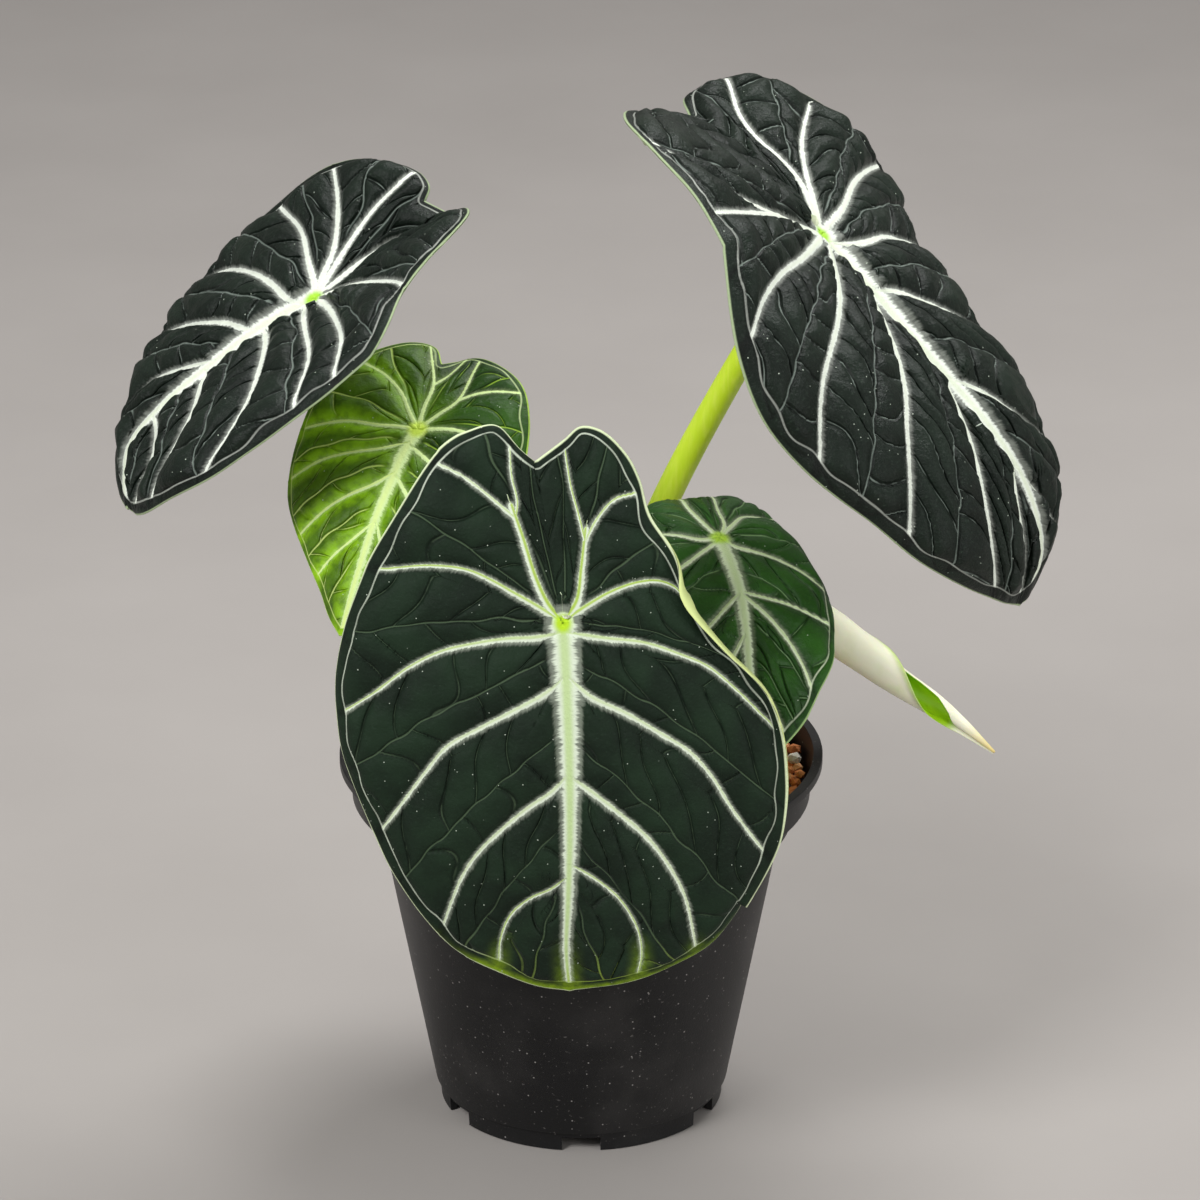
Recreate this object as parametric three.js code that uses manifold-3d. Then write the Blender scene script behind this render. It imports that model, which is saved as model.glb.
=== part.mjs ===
// A potted black alocasia: five quilted leaves and one still rolled up, in a nursery pot of clay granules.
// Millimetres, +Z up. The origin is the middle of the pot's foot, and -Y is the side people look at.

import * as THREE from 'three';
import { mergeVertices } from 'three/addons/utils/BufferGeometryUtils.js';
import Module from 'manifold-3d';

const wasm = await Module();
wasm.setup();

// Driving dimensions
const gap = 0.3; // left between neighbours that touch on the real plant

const pot = {
  height: 117,
  lipRadius: 75,
  lipWidth: 3.1,
  lipHeight: 3,
  collarRadius: 65.6, // the short upright band under the rim
  collarTop: 101,
  collarBottom: 95,
  bodyTopRadius: 62.8,
  footRadius: 46,
  footHeight: 6.5, // a skirt below a thin step line
  footInset: 1.3,
  wall: 1.6,
  floorTop: 6.5,
  ledge: 2.6, // the step inside the wall, behind the collar's foot
  segments: 36,
  notches: 6,
  notchWidth: 12,
  notchHeight: 4.6,
  notchDepth: 8,
  skirtThickness: 2.3,
  drainHoles: 6,
  drainRadius: 4,
  drainRingRadius: 27,
};

const bed = {
  top: 104.5, // about a finger's width below the rim
  granuleRadius: 5.8,
  rings: 5,
  ringStep: 12.2,
  sunk: 2.6, // how far a granule's middle lies below the top of the bed
  unevenness: 1.6,
  stemDepth: 12, // how deep stems stand in their holes
};

const whiteGranules = [
  { at: [66.3, 4], radius: 2.6 },
  { at: [-30, 44], radius: 2.8 },
  { at: [22, 56], radius: 2.5 },
];
const whiteSunk = 0.9; // how deep each sits among the others
const whiteFlattening = 0.85;

const stem = { radius: 8.5, height: 15, sides: 14 };

const blade = {
  halfThickness: 0.5,
  stepsPerPanel: 4, // strips between one primary vein and the next
  innerRows: 5,
  midribDepth: [2, 0.5], // how far the midrib stands out below, at the petiole and at the tip
  veinDepth: [1.1, 0.3],
  puffFull: 12, // the quilting is at its full height this far from the midrib
  puffEdge: 9, // and from the margin
  archSpan: 60, // each half's arch is its fall over this width
};

// Each blade is drawn flat, seen from its upper face with the tip down: x runs out from the midrib and y
// along it to the tip, and the petiole meets the blade at (0, 0). An outline runs from the cleft between
// the lobes to the tip, and a vein is a start on the midrib, a point that it bows through and an end at
// the margin. aim holds the tip's compass direction, droop below level and roll about the midrib. tilt
// is each half's rise from the midrib and arch its fall over 60 mm, at the lobes, petiole and tip.
const frontLeaf = {
  name: 'front',
  petioleJoin: [-5, -84, 195.4],
  aim: { azimuth: 0, droop: 80, roll: -1.6 },
  length: 120,
  baseLength: 56,
  bendTip: { degrees: 24, power: 1.2 },
  bendBase: 10,
  sway: 0,
  twist: 0,
  puff: 1.7,
  marginRows: [9, 5.4, 2.4, 0],
  cleft: [-8, -48],
  tip: [1, 123],
  tipVia: [0, 100],
  left: {
    tilt: [8, 5, 2],
    arch: [12, 13, 15],
    outline: [
      [13, -52], [20, -59], [28, -57], [37, -51], [52, -28], [60, -12], [66, 8], [68, 25],
      [66, 43], [61, 59], [53, 80], [43, 97], [34, 108], [20, 116], [9, 121],
    ],
    veins: [
      { from: 0, via: [8, -26], to: [14, -54] },
      { from: 0, via: [9, -24], to: [36, -51] },
      { from: 0, via: [30, -14], to: [58, -17] },
      { from: 0, via: [36, 6], to: [68, 29] },
      { from: 20, via: [31, 36], to: [58, 68] },
      { from: 48, via: [21, 66], to: [40, 101] },
      { from: 78, via: [12, 92], to: [22, 115] },
    ],
  },
  right: {
    tilt: [8, 5, 2],
    arch: [8, 10, 15],
    outline: [
      [0, -54], [5, -58], [11.5, -56.8], [18.8, -50], [22.8, -42.5], [26, -31.5], [37, -18.5], [43.5, -5.5],
      [53.2, 7.3], [63.6, 24], [67, 38], [67, 56], [65, 71], [56, 91], [45, 108], [34, 115], [20, 120],
      [8, 122],
    ],
    veins: [
      { from: 0, via: [7, -22], to: [4, -57] },
      { from: 0, via: [6, -21], to: [21, -47] },
      { from: 0, via: [24, -14], to: [43, -7] },
      { from: 0, via: [34, 9], to: [66, 41] },
      { from: 20, via: [34, 38], to: [64, 79] },
      { from: 48, via: [24, 70], to: [43, 109] },
      { from: 78, via: [12, 96], to: [25, 119] },
    ],
  },
  rolls: [
    { side: 'right', angle: 92, halfWidth: 62, degrees: 165, width: 8 },
    { side: 'left', angle: 80, halfWidth: 70, degrees: -38, width: 9 },
    { side: 'right', angle: 25, halfWidth: 34, degrees: -30, width: 8 },
    { side: 'left', angle: 155, halfWidth: 22, degrees: -60, width: 7 },
  ],
};

const leftLeaf = {
  name: 'left',
  petioleJoin: [-80, 0, 265.1],
  aim: { azimuth: -70, droop: 29, roll: 11 },
  length: 106,
  baseLength: 49,
  bendTip: { degrees: 80, power: 2.6 },
  bendBase: 2,
  sway: -17,
  twist: 9,
  puff: 2.1,
  marginRows: [11, 4, 0],
  cleft: [-8, -45],
  tip: [26, 84],
  tipVia: [1, 74],
  left: {
    tilt: [26, 8, -5],
    arch: [20, 30, 37],
    outline: [
      [12, -49], [25, -48], [36, -40], [45, -28], [53, -11], [60, 2], [60, 16], [57, 29],
      [51, 41], [39, 54], [25, 67], [6, 79], [-12, 85],
    ],
    veins: [
      { from: 0, via: [11, -24], to: [18, -49] },
      { from: 0, via: [14, -16], to: [43, -31] },
      { from: 0, via: [22, -12], to: [53, -10] },
      { from: 0, via: [22, 5], to: [59, 22] },
      { from: 18, via: [16, 23], to: [49, 44] },
      { from: 36, via: [12, 46], to: [22, 69] },
      { from: 58, via: [4, 68], to: [0, 82] },
    ],
  },
  right: {
    tilt: [30, 18, 3],
    arch: [3, 6, 14],
    outline: [
      [4, -50], [18, -52], [32, -47], [38, -33], [44, -20], [54, -10], [59, 0], [59, 14],
      [59, 30], [58, 44], [54, 58], [44, 71], [35, 80],
    ],
    veins: [
      { from: 0, via: [0, -24], to: [14, -51] },
      { from: 0, via: [6, -22], to: [34, -42] },
      { from: 0, via: [14, -13], to: [46, -18] },
      { from: 0, via: [30, -2], to: [59, 14] },
      { from: 18, via: [20, 23], to: [56, 50] },
      { from: 36, via: [18, 48], to: [42, 73] },
      { from: 58, via: [22, 66], to: [31, 82] },
    ],
  },
  rolls: [
    { side: 'right', angle: 60, halfWidth: 80, degrees: -42, width: 7 },
    { side: 'left', angle: 150, halfWidth: 28, degrees: -55, width: 7 },
  ],
};

const smallLeftLeaf = {
  name: 'left_small',
  petioleJoin: [-48.9, -20, 230.8],
  aim: { azimuth: -27, droop: 34, roll: 8 },
  length: 68,
  baseLength: 31,
  bendTip: { degrees: 38, power: 1.5 },
  bendBase: 18,
  sway: 0,
  twist: 14,
  puff: 0.9,
  marginRows: [6, 0],
  cleft: [-4, -27],
  tip: [-1, 69],
  tipVia: [0, 58],
  left: {
    tilt: [7, 7, -10],
    arch: [25, 23, 29],
    outline: [
      [9, -33], [17, -32], [27, -23], [33, -11], [37, 4], [37, 20], [35, 31], [29, 41],
      [21, 50], [13, 58], [7, 65],
    ],
    veins: [
      { from: 0, via: [4, -15], to: [13, -33] },
      { from: 0, via: [12, -9], to: [30, -19] },
      { from: 0, via: [18, 0], to: [37, 10] },
      { from: 9, via: [19, 11], to: [35, 31] },
      { from: 18, via: [13, 24], to: [27, 44] },
      { from: 34, via: [8, 42], to: [17, 55] },
    ],
  },
  right: {
    tilt: [11, 5, 0],
    arch: [25, 25, 25],
    outline: [
      [4, -33], [14, -31], [24, -25], [31, -14], [35, -2], [37, 10], [37, 22], [34, 34],
      [28, 44], [19, 53], [10, 61], [4, 67],
    ],
    veins: [
      { from: 0, via: [3, -15], to: [10, -33] },
      { from: 0, via: [9, -12], to: [28, -20] },
      { from: 0, via: [18, -4], to: [36, 4] },
      { from: 9, via: [19, 12], to: [36, 27] },
      { from: 18, via: [14, 25], to: [29, 43] },
      { from: 34, via: [9, 42], to: [17, 55] },
    ],
  },
  rolls: [
    { side: 'left', angle: 70, halfWidth: 70, degrees: -25, width: 6 },
  ],
};

const rightLeaf = {
  name: 'right',
  petioleJoin: [71.9, 5, 283.8],
  aim: { azimuth: 53, droop: 38, roll: 8 },
  length: 147,
  baseLength: 66,
  bendTip: { degrees: 90, power: 2.9 },
  bendBase: 25,
  sway: 28,
  twist: 4,
  puff: 2.3,
  marginRows: [11, 4.4, 0],
  cleft: [5, -58],
  tip: [-14, 136],
  tipVia: [-1, 118],
  left: {
    tilt: [13, 21, -4],
    arch: [-6, 12, 45],
    outline: [
      [10, -62], [26, -62], [44, -56], [60, -46], [68, -34], [73, -14], [80, 6], [86, 27],
      [86, 47], [78, 67], [66, 88], [55, 107], [41, 122], [26, 131], [18, 135],
    ],
    veins: [
      { from: 0, via: [27, -22], to: [40, -58] },
      { from: 0, via: [33, -8], to: [74, -12] },
      { from: 0, via: [52, 6], to: [86, 29] },
      { from: 8, via: [48, 32], to: [79, 67] },
      { from: 26, via: [31, 55], to: [60, 99] },
      { from: 60, via: [18, 87], to: [32, 128] },
      { from: 92, via: [9, 108], to: [20, 134] },
    ],
  },
  right: {
    tilt: [19, 5, 0],
    arch: [16, 28, 33],
    outline: [
      [12, -65], [24, -67], [40, -62], [54, -48], [67, -34], [74, -20], [72, -4], [62, 16],
      [54, 35], [52, 52], [49, 67], [42, 84], [31, 101], [18, 115], [4, 126], [-8, 133],
    ],
    veins: [
      { from: 0, via: [11, -40], to: [32, -65] },
      { from: 0, via: [19, -24], to: [56, -46] },
      { from: 0, via: [40, -15], to: [74, -20] },
      { from: 8, via: [30, 3], to: [66, 10] },
      { from: 26, via: [18, 32], to: [52, 48] },
      { from: 60, via: [11, 62], to: [41, 86] },
      { from: 92, via: [8, 98], to: [14, 118] },
    ],
  },
  rolls: [
    { side: 'left', angle: 55, halfWidth: 70, degrees: -45, width: 8 },
    { side: 'right', angle: 158, halfWidth: 22, degrees: -80, width: 7 },
  ],
};

const smallRightLeaf = {
  name: 'right_small',
  petioleJoin: [42.3, -8, 190.5],
  aim: { azimuth: 11, droop: 19, roll: 0 },
  length: 83,
  baseLength: 37,
  bendTip: { degrees: 41, power: 1.5 },
  bendBase: 35,
  sway: 0,
  twist: 4,
  puff: 1.2,
  marginRows: [6, 0],
  cleft: [-1, -29],
  tip: [0, 83],
  tipVia: [-1, 66],
  left: {
    tilt: [-14, 5, 0],
    arch: [27, 25, 25],
    outline: [
      [7, -37], [15, -36], [23, -28], [29, -15], [32, 0], [33, 14], [32, 30], [28, 45],
      [21, 58], [12, 70], [4, 79],
    ],
    veins: [
      { from: 0, via: [6, -17], to: [11, -37] },
      { from: 0, via: [11, -8], to: [31, -8] },
      { from: 0, via: [14, 10], to: [33, 22] },
      { from: 25, via: [13, 33], to: [28, 45] },
      { from: 36, via: [9, 48], to: [21, 58] },
      { from: 54, via: [6, 62], to: [12, 70] },
    ],
  },
  right: {
    tilt: [-14, -10, 4],
    arch: [40, 38, 33],
    outline: [
      [6, -36], [14, -38], [23, -30], [28, -10], [32, 3], [33.5, 14], [32, 27], [30, 39],
      [26, 51], [20, 61], [13, 71], [6, 78],
    ],
    veins: [
      { from: 0, via: [2, -15], to: [5, -35] },
      { from: 0, via: [10, -14], to: [25, -25] },
      { from: 0, via: [19, 6], to: [33, 20] },
      { from: 25, via: [14, 40], to: [21, 60] },
      { from: 36, via: [10, 56], to: [15, 69] },
      { from: 54, via: [6, 66], to: [8, 76] },
    ],
  },
  rolls: [
    { side: 'right', angle: 60, halfWidth: 60, degrees: -25, width: 6 },
  ],
};

// Petioles run from their holes round the stem to the blades. Each route ends just below its blade.
const petioles = [
  { leaf: frontLeaf, route: [[-1, -16], [-3, -28, 143], [-5, -56, 181]], radius: [4.6, 3.2] },
  {
    leaf: leftLeaf,
    route: [[-12.5, 10], [-22, 22, 140], [-40, 30, 190], [-62, 26, 228]],
    radius: [4.8, 3.1],
  },
  { leaf: smallLeftLeaf, route: [[-15.5, -5], [-25, -7, 140], [-40, -13, 188]], radius: [4, 2.5] },
  { leaf: rightLeaf, route: [[0, 16.5], [9, 28, 140], [25, 36, 183], [53.5, 22, 246]], radius: [5, 3.7] },
  { leaf: smallRightLeaf, route: [[14, -7.5], [20, -10, 140], [32, -10, 172]], radius: [4, 2.5] },
];
const petioleSteps = 12;
const petioleSides = 8;
const petioleFlare = { amount: 0.35, length: 0.3 }; // shares of its radius and of its length
const petioleUpright = 4; // how far each stands upright above the granules

// The new leaf is still rolled round itself, and hangs to the right on a petiole of its own.
const rolledLeaf = {
  axis: [[56, 17, 166], [66, 15, 159.5], [80, 12.5, 149.5], [98, 10, 136.5], [114, 9, 125.5], [129, 9, 112]],
  radius: [[0, 2.6], [0.1, 5.4], [0.3, 6], [0.5, 5], [0.7, 3.7], [0.88, 1.9], [1, 0.5]],
  sides: 16,
  steps: 18,
  seamStep: 0.82, // the inner edge of the roll, as a share of the outer one
  seamAngles: [70, -80],
  overlap: 0.4, // how far the roll's last side runs on past its first, in sides
  petioleRoute: [[12.5, 10.5], [24, 15, 138], [42, 18, 158]],
  petioleRadius: [4.4, 2.6],
  joinAt: 0.2, // where its petiole meets it, as a share of its length
  joinDepth: 5.3,
};

const colours = {
  pot: { color: 0x3c3b3e, roughness: 0.55, metalness: 0 },
  granules: { color: 0xb8683c, roughness: 0.95, metalness: 0 },
  whiteGranule: { color: 0xf0ece4, roughness: 0.9, metalness: 0 },
  darkLeaf: { color: 0x1b2a22, roughness: 0.6, metalness: 0 },
  greenLeaf: { color: 0x2f6a1e, roughness: 0.55, metalness: 0 },
  youngLeaf: { color: 0x5f9a17, roughness: 0.5, metalness: 0 },
  petiole: { color: 0xa4c83a, roughness: 0.45, metalness: 0 },
  rolledLeaf: { color: 0xe9efc4, roughness: 0.5, metalness: 0 },
  stem: { color: 0x8a6f45, roughness: 0.85, metalness: 0 },
};

// Helpers

const radians = THREE.MathUtils.degToRad;
const mix = THREE.MathUtils.lerp;
const smooth = (value) => THREE.MathUtils.smoothstep(value, 0, 1);

// A generator of even numbers from 0 to 1 that gives the same run each time.
function seededRandom(seed) {
  let state = seed;
  return () => {
    state = (state * 1664525 + 1013904223) % 4294967296;
    return state / 4294967296;
  };
}

function signedVolume(points, triangles) {
  const normal = new THREE.Vector3();
  return triangles.reduce((sum, [a, b, c]) => {
    normal.crossVectors(points[b], points[c]);
    return sum + points[a].dot(normal) / 6;
  }, 0);
}

// Turns shared points and triangles into a closed geometry with its faces pointing out.
function closedGeometry(points, triangles) {
  const inward = signedVolume(points, triangles) < 0;
  const geometry = new THREE.BufferGeometry();
  const places = points.flatMap((point) => [point.x, point.y, point.z]);
  geometry.setAttribute('position', new THREE.Float32BufferAttribute(places, 3));
  geometry.setIndex(triangles.flatMap(([a, b, c]) => (inward ? [a, c, b] : [a, b, c])));
  return geometry;
}

function solidOf(geometry) {
  const bare = geometry.clone();
  bare.deleteAttribute('normal');
  bare.deleteAttribute('uv');
  const merged = mergeVertices(bare, 1e-4);
  const position = merged.attributes.position;
  const points = Array.from({ length: position.count }, (_, i) => (
    new THREE.Vector3().fromBufferAttribute(position, i)
  ));
  const index = Array.from(merged.index.array);
  const triangles = [];
  for (let i = 0; i < index.length; i += 3) {
    const [a, b, c] = index.slice(i, i + 3);
    if (a !== b && b !== c && c !== a) triangles.push([a, b, c]);
  }
  const closed = closedGeometry(points, triangles);
  return new wasm.Manifold(new wasm.Mesh({
    numProp: 3,
    vertProperties: new Float32Array(closed.attributes.position.array),
    triVerts: new Uint32Array(closed.index.array),
  }));
}

function geometryOf(solid) {
  const mesh = solid.getMesh();
  const geometry = new THREE.BufferGeometry();
  geometry.setAttribute('position', new THREE.BufferAttribute(mesh.vertProperties, 3));
  geometry.setIndex(new THREE.BufferAttribute(mesh.triVerts, 1));
  return geometry;
}

// A profile of [radius, height] points turned round the Z axis.
function turned(profile, segments) {
  const points = profile.map(([radius, height]) => new THREE.Vector2(radius, height));
  return new THREE.LatheGeometry(points, segments).rotateX(Math.PI / 2);
}

// A closed body from one ring of points after another, with a flat cap at each end.
function skinned(rings) {
  const sides = rings[0].length;
  const points = rings.flat();
  const triangles = [];
  for (let ring = 0; ring < rings.length - 1; ring += 1) {
    for (let side = 0; side < sides; side += 1) {
      const next = (side + 1) % sides;
      const a = ring * sides + side;
      const b = ring * sides + next;
      triangles.push([a, b, b + sides], [a, b + sides, a + sides]);
    }
  }
  [0, rings.length - 1].forEach((ring) => {
    const middle = new THREE.Vector3();
    rings[ring].forEach((point) => middle.addScaledVector(point, 1 / sides));
    points.push(middle);
    for (let side = 0; side < sides; side += 1) {
      const pair = [ring * sides + side, ring * sides + ((side + 1) % sides)];
      if (ring === 0) pair.reverse();
      triangles.push([...pair, points.length - 1]);
    }
  });
  return closedGeometry(points, triangles);
}

// Rings of a section swept along a curve. sectionAt gives [across, up] pairs at a share of the length.
function sweptRings(curve, steps, sectionAt) {
  const { normals, binormals } = curve.computeFrenetFrames(steps, false);
  return normals.map((across, step) => {
    const middle = curve.getPointAt(step / steps);
    return sectionAt(step / steps).map(([a, b]) => (
      middle.clone().addScaledVector(across, a).addScaledVector(binormals[step], b)
    ));
  });
}

function circle(radius, sides) {
  return Array.from({ length: sides }, (_, side) => {
    const angle = (2 * Math.PI * side) / sides;
    return [radius * Math.cos(angle), radius * Math.sin(angle)];
  });
}

// Blades

// Points along an arc whose turn grows as a power of the way along it.
function bentPath(length, degrees, power) {
  const count = 200;
  const step = (1.6 * length) / (count - 1);
  const turnAt = (i) => radians(degrees) * ((i * step) / length) ** power;
  const path = [{ turn: 0, along: 0, drop: 0 }];
  for (let i = 1; i < count; i += 1) {
    const middle = (turnAt(i) + turnAt(i - 1)) / 2;
    const last = path[i - 1];
    path.push({
      turn: turnAt(i),
      along: last.along + Math.cos(middle) * step,
      drop: last.drop + Math.sin(middle) * step,
    });
  }
  return (distance) => {
    const place = Math.min(distance / step, count - 1.001);
    const i = Math.floor(place);
    const part = place - i;
    return {
      turn: mix(path[i].turn, path[i + 1].turn, part),
      along: mix(path[i].along, path[i + 1].along, part),
      drop: mix(path[i].drop, path[i + 1].drop, part),
    };
  };
}

function prepareLeaf(leaf) {
  const { azimuth, droop, roll } = leaf.aim;
  const [a, d, turn] = [radians(azimuth), radians(droop), radians(roll)];
  const toTip = new THREE.Vector3(Math.sin(a) * Math.cos(d), -Math.cos(a) * Math.cos(d), -Math.sin(d));
  const level = new THREE.Vector3(Math.sin(a) * Math.sin(d), -Math.cos(a) * Math.sin(d), Math.cos(d));
  const face = level.clone().multiplyScalar(Math.cos(turn));
  face.addScaledVector(new THREE.Vector3().crossVectors(level, toTip), Math.sin(turn));
  return {
    ...leaf,
    toTip,
    face,
    across: new THREE.Vector3().crossVectors(face, toTip),
    tipPath: bentPath(leaf.length, leaf.bendTip.degrees, leaf.bendTip.power),
    basePath: bentPath(leaf.baseLength, leaf.bendBase, 1),
  };
}

// A value given at the lobes, at the petiole and at the tip.
function valueAlong([atLobes, atPetiole, atTip], leaf, y) {
  if (y > 0) return mix(atPetiole, atTip, Math.min(y / leaf.length, 1.5));
  return mix(atPetiole, atLobes, Math.min(-y / leaf.baseLength, 1.5));
}

// Where a point of the flat drawing lies on the bent blade's middle surface.
function bladePoint(leaf, x, y) {
  const swayed = x + leaf.sway * (Math.max(y, 0) / leaf.length) ** 2;
  const towardTip = y >= 0;
  const path = towardTip ? leaf.tipPath(y) : leaf.basePath(-y);
  const turn = towardTip ? path.turn : -path.turn;
  const along = towardTip ? path.along : -path.along;
  const half = swayed >= 0 ? leaf.right : leaf.left;
  const sign = swayed >= 0 ? 1 : -1;
  const tilt = radians(valueAlong(half.tilt, leaf, y));
  const arch = radians(valueAlong(half.arch, leaf, y)) / blade.archSpan + 1e-7;
  const out = Math.abs(swayed);
  const reach = (sign * (Math.sin(tilt) - Math.sin(tilt - arch * out))) / arch;
  const rise = (Math.cos(tilt - arch * out) - Math.cos(tilt)) / arch;
  const faceHere = leaf.toTip.clone().multiplyScalar(Math.sin(turn));
  faceHere.addScaledVector(leaf.face, Math.cos(turn));
  const twist = radians(leaf.twist) * Math.max(y / leaf.length, 0);
  const acrossHere = leaf.across.clone().multiplyScalar(Math.cos(twist));
  acrossHere.addScaledVector(faceHere, Math.sin(twist));
  faceHere.multiplyScalar(Math.cos(twist)).addScaledVector(leaf.across, -Math.sin(twist));
  return new THREE.Vector3(...leaf.petioleJoin)
    .addScaledVector(leaf.toTip, along)
    .addScaledVector(leaf.face, -path.drop)
    .addScaledVector(acrossHere, reach)
    .addScaledVector(faceHere, rise);
}

function bladeNormal(leaf, x, y) {
  const step = 0.5;
  const alongX = bladePoint(leaf, x + step, y).sub(bladePoint(leaf, x - step, y));
  const alongY = bladePoint(leaf, x, y + step).sub(bladePoint(leaf, x, y - step));
  return alongY.cross(alongX).normalize();
}

// The lines that fan out from the midrib on one side: the cleft, the primary veins and the tip.
function guideLines(leaf, side) {
  const sign = side === 'right' ? 1 : -1;
  const half = leaf[side];
  const flat = ([out, y]) => new THREE.Vector3(sign * out, y, 0);
  const ends = [leaf.cleft, leaf.tip].map(([x, y]) => new THREE.Vector3(x, y, 0));
  const marginPoints = [ends[0], ...half.outline.map(flat), ends[1]];
  const margin = new THREE.CatmullRomCurve3(marginPoints, false, 'centripetal');
  const samples = margin.getSpacedPoints(400);
  const shareNear = (point) => {
    const distances = samples.map((sample) => sample.distanceTo(point));
    return distances.indexOf(Math.min(...distances)) / 400;
  };
  const veins = half.veins.map(({ from, via, to }) => (
    { from, via: flat(via), share: shareNear(flat(to)) }
  ));
  const lastStart = half.veins.at(-1).from;
  return {
    margin,
    lines: [
      { from: 0, via: ends[0].clone().multiplyScalar(0.5), share: 0 },
      ...veins,
      { from: lastStart, via: new THREE.Vector3(...leaf.tipVia, 0), share: 1 },
    ],
  };
}

// One side's spokes, each a bowed line from the midrib to the margin.
function sideSpokes(leaf, side) {
  const { margin, lines } = guideLines(leaf, side);
  const steps = blade.stepsPerPanel;
  const spokes = [];
  for (let panel = 0; panel < lines.length - 1; panel += 1) {
    const last = panel === lines.length - 2;
    for (let step = 0; step < steps + (last ? 1 : 0); step += 1) {
      const share = step / steps;
      const [a, b] = [lines[panel], lines[panel + 1]];
      spokes.push({
        side,
        across: share,
        isVein: step % steps === 0 && panel + share > 0,
        start: new THREE.Vector3(0, mix(a.from, b.from, share), 0),
        via: a.via.clone().lerp(b.via, share),
        end: margin.getPointAt(mix(a.share, b.share, share)),
      });
    }
  }
  return spokes;
}

function spokePoint(spoke, part) {
  const toVia = spoke.start.clone().lerp(spoke.via, part);
  return toVia.lerp(spoke.via.clone().lerp(spoke.end, part), part);
}

// How far the margin rolls over where a spoke ends, in degrees, and how wide a strip takes part.
function marginRoll(leaf, spoke) {
  const angle = THREE.MathUtils.radToDeg(Math.atan2(Math.abs(spoke.end.x), spoke.end.y));
  for (const roll of leaf.rolls) {
    const away = Math.abs(angle - roll.angle) / roll.halfWidth;
    if (roll.side === spoke.side && away < 1) {
      const share = Math.cos((away * Math.PI) / 2) ** 2;
      return { turn: radians(roll.degrees) * share, width: roll.width * Math.sqrt(share) };
    }
  }
  return { turn: 0, width: 0 };
}

// A point of the blade with its quilting between the veins and its rolled margin.
function dressedPoint(leaf, spoke, part) {
  const flat = spokePoint(spoke, part);
  const length = spoke.start.distanceTo(spoke.end);
  const toMargin = (1 - part) * length;
  const crown = Math.sin(Math.PI * spoke.across) ** 0.7;
  const nearVein = smooth((part * length) / blade.puffFull);
  const puff = leaf.puff * crown * nearVein * smooth(toMargin / blade.puffEdge);
  const { turn, width } = marginRoll(leaf, spoke);
  if (toMargin < width && Math.abs(turn) > 0.01) {
    const hinge = spokePoint(spoke, 1 - width / length);
    const outward = spoke.end.clone().sub(hinge).normalize();
    const base = bladePoint(leaf, hinge.x, hinge.y);
    const normal = bladeNormal(leaf, hinge.x, hinge.y);
    const direction = bladePoint(leaf, hinge.x + outward.x, hinge.y + outward.y).sub(base).normalize();
    const curl = turn / width;
    const angle = curl * (width - toMargin);
    const lift = normal.clone().multiplyScalar(Math.cos(angle)).addScaledVector(direction, -Math.sin(angle));
    return base
      .addScaledVector(direction, Math.sin(angle) / curl)
      .addScaledVector(normal, (1 - Math.cos(angle)) / curl)
      .addScaledVector(lift, puff);
  }
  return bladePoint(leaf, flat.x, flat.y).addScaledVector(bladeNormal(leaf, flat.x, flat.y), puff);
}

// Rows are even out to a band along the margin, where they lie at set distances from it.
function rowParts(leaf, spoke) {
  const length = spoke.start.distanceTo(spoke.end);
  const band = leaf.marginRows[0] / length;
  const inner = Array.from({ length: blade.innerRows }, (_, row) => (row / blade.innerRows) * (1 - band));
  return [...inner, ...leaf.marginRows.map((distance) => 1 - distance / length)];
}

// How far a vein stands out below the blade.
function ribDepth(leaf, spoke, row, part) {
  const along = Math.min(Math.max(spokePoint(spoke, part).y / leaf.length, 0), 1);
  if (row === 0) return mix(...blade.midribDepth, along);
  return spoke.isVein ? mix(...blade.veinDepth, part) : 0;
}

function leafGeometry(leaf) {
  const right = sideSpokes(leaf, 'right');
  const left = sideSpokes(leaf, 'left').reverse();
  const spokes = [...right, ...left.slice(1, -1)];
  const middles = [];
  const depths = [];
  const known = new Map();
  const grid = spokes.map((spoke) => rowParts(leaf, spoke).map((part, row) => {
    const flat = spokePoint(spoke, part);
    const key = `${Math.round(flat.x * 500)},${Math.round(flat.y * 500)}`;
    if (!known.has(key)) {
      known.set(key, middles.length);
      middles.push(dressedPoint(leaf, spoke, part));
      depths.push(ribDepth(leaf, spoke, row, part));
    }
    return known.get(key);
  }));
  const faces = [];
  grid.forEach((column, i) => {
    const next = grid[(i + 1) % grid.length];
    for (let row = 0; row < column.length - 1; row += 1) {
      faces.push([column[row], next[row], next[row + 1]], [column[row], next[row + 1], column[row + 1]]);
    }
  });
  const triangles = faces.filter(([a, b, c]) => a !== b && b !== c && c !== a);
  const normals = middles.map(() => new THREE.Vector3());
  triangles.forEach(([a, b, c]) => {
    const edge = middles[b].clone().sub(middles[a]);
    const normal = edge.cross(middles[c].clone().sub(middles[a]));
    [a, b, c].forEach((i) => normals[i].add(normal));
  });
  const facing = normals[grid[4][2]].dot(leaf.face) > 0 ? 1 : -1;
  normals.forEach((normal) => normal.normalize().multiplyScalar(facing));
  const count = middles.length;
  const upper = middles.map((point, i) => point.clone().addScaledVector(normals[i], blade.halfThickness));
  const lower = middles.map((point, i) => (
    point.clone().addScaledVector(normals[i], -blade.halfThickness - depths[i])
  ));
  const rim = grid.map((column) => column.at(-1));
  const edge = rim.flatMap((a, i) => {
    const b = rim[(i + 1) % rim.length];
    return [[a, b, b + count], [a, b + count, a + count]];
  });
  const under = triangles.map(([a, b, c]) => [a + count, c + count, b + count]);
  return closedGeometry([...upper, ...lower], [...triangles, ...under, ...edge]);
}

// Stems

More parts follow.
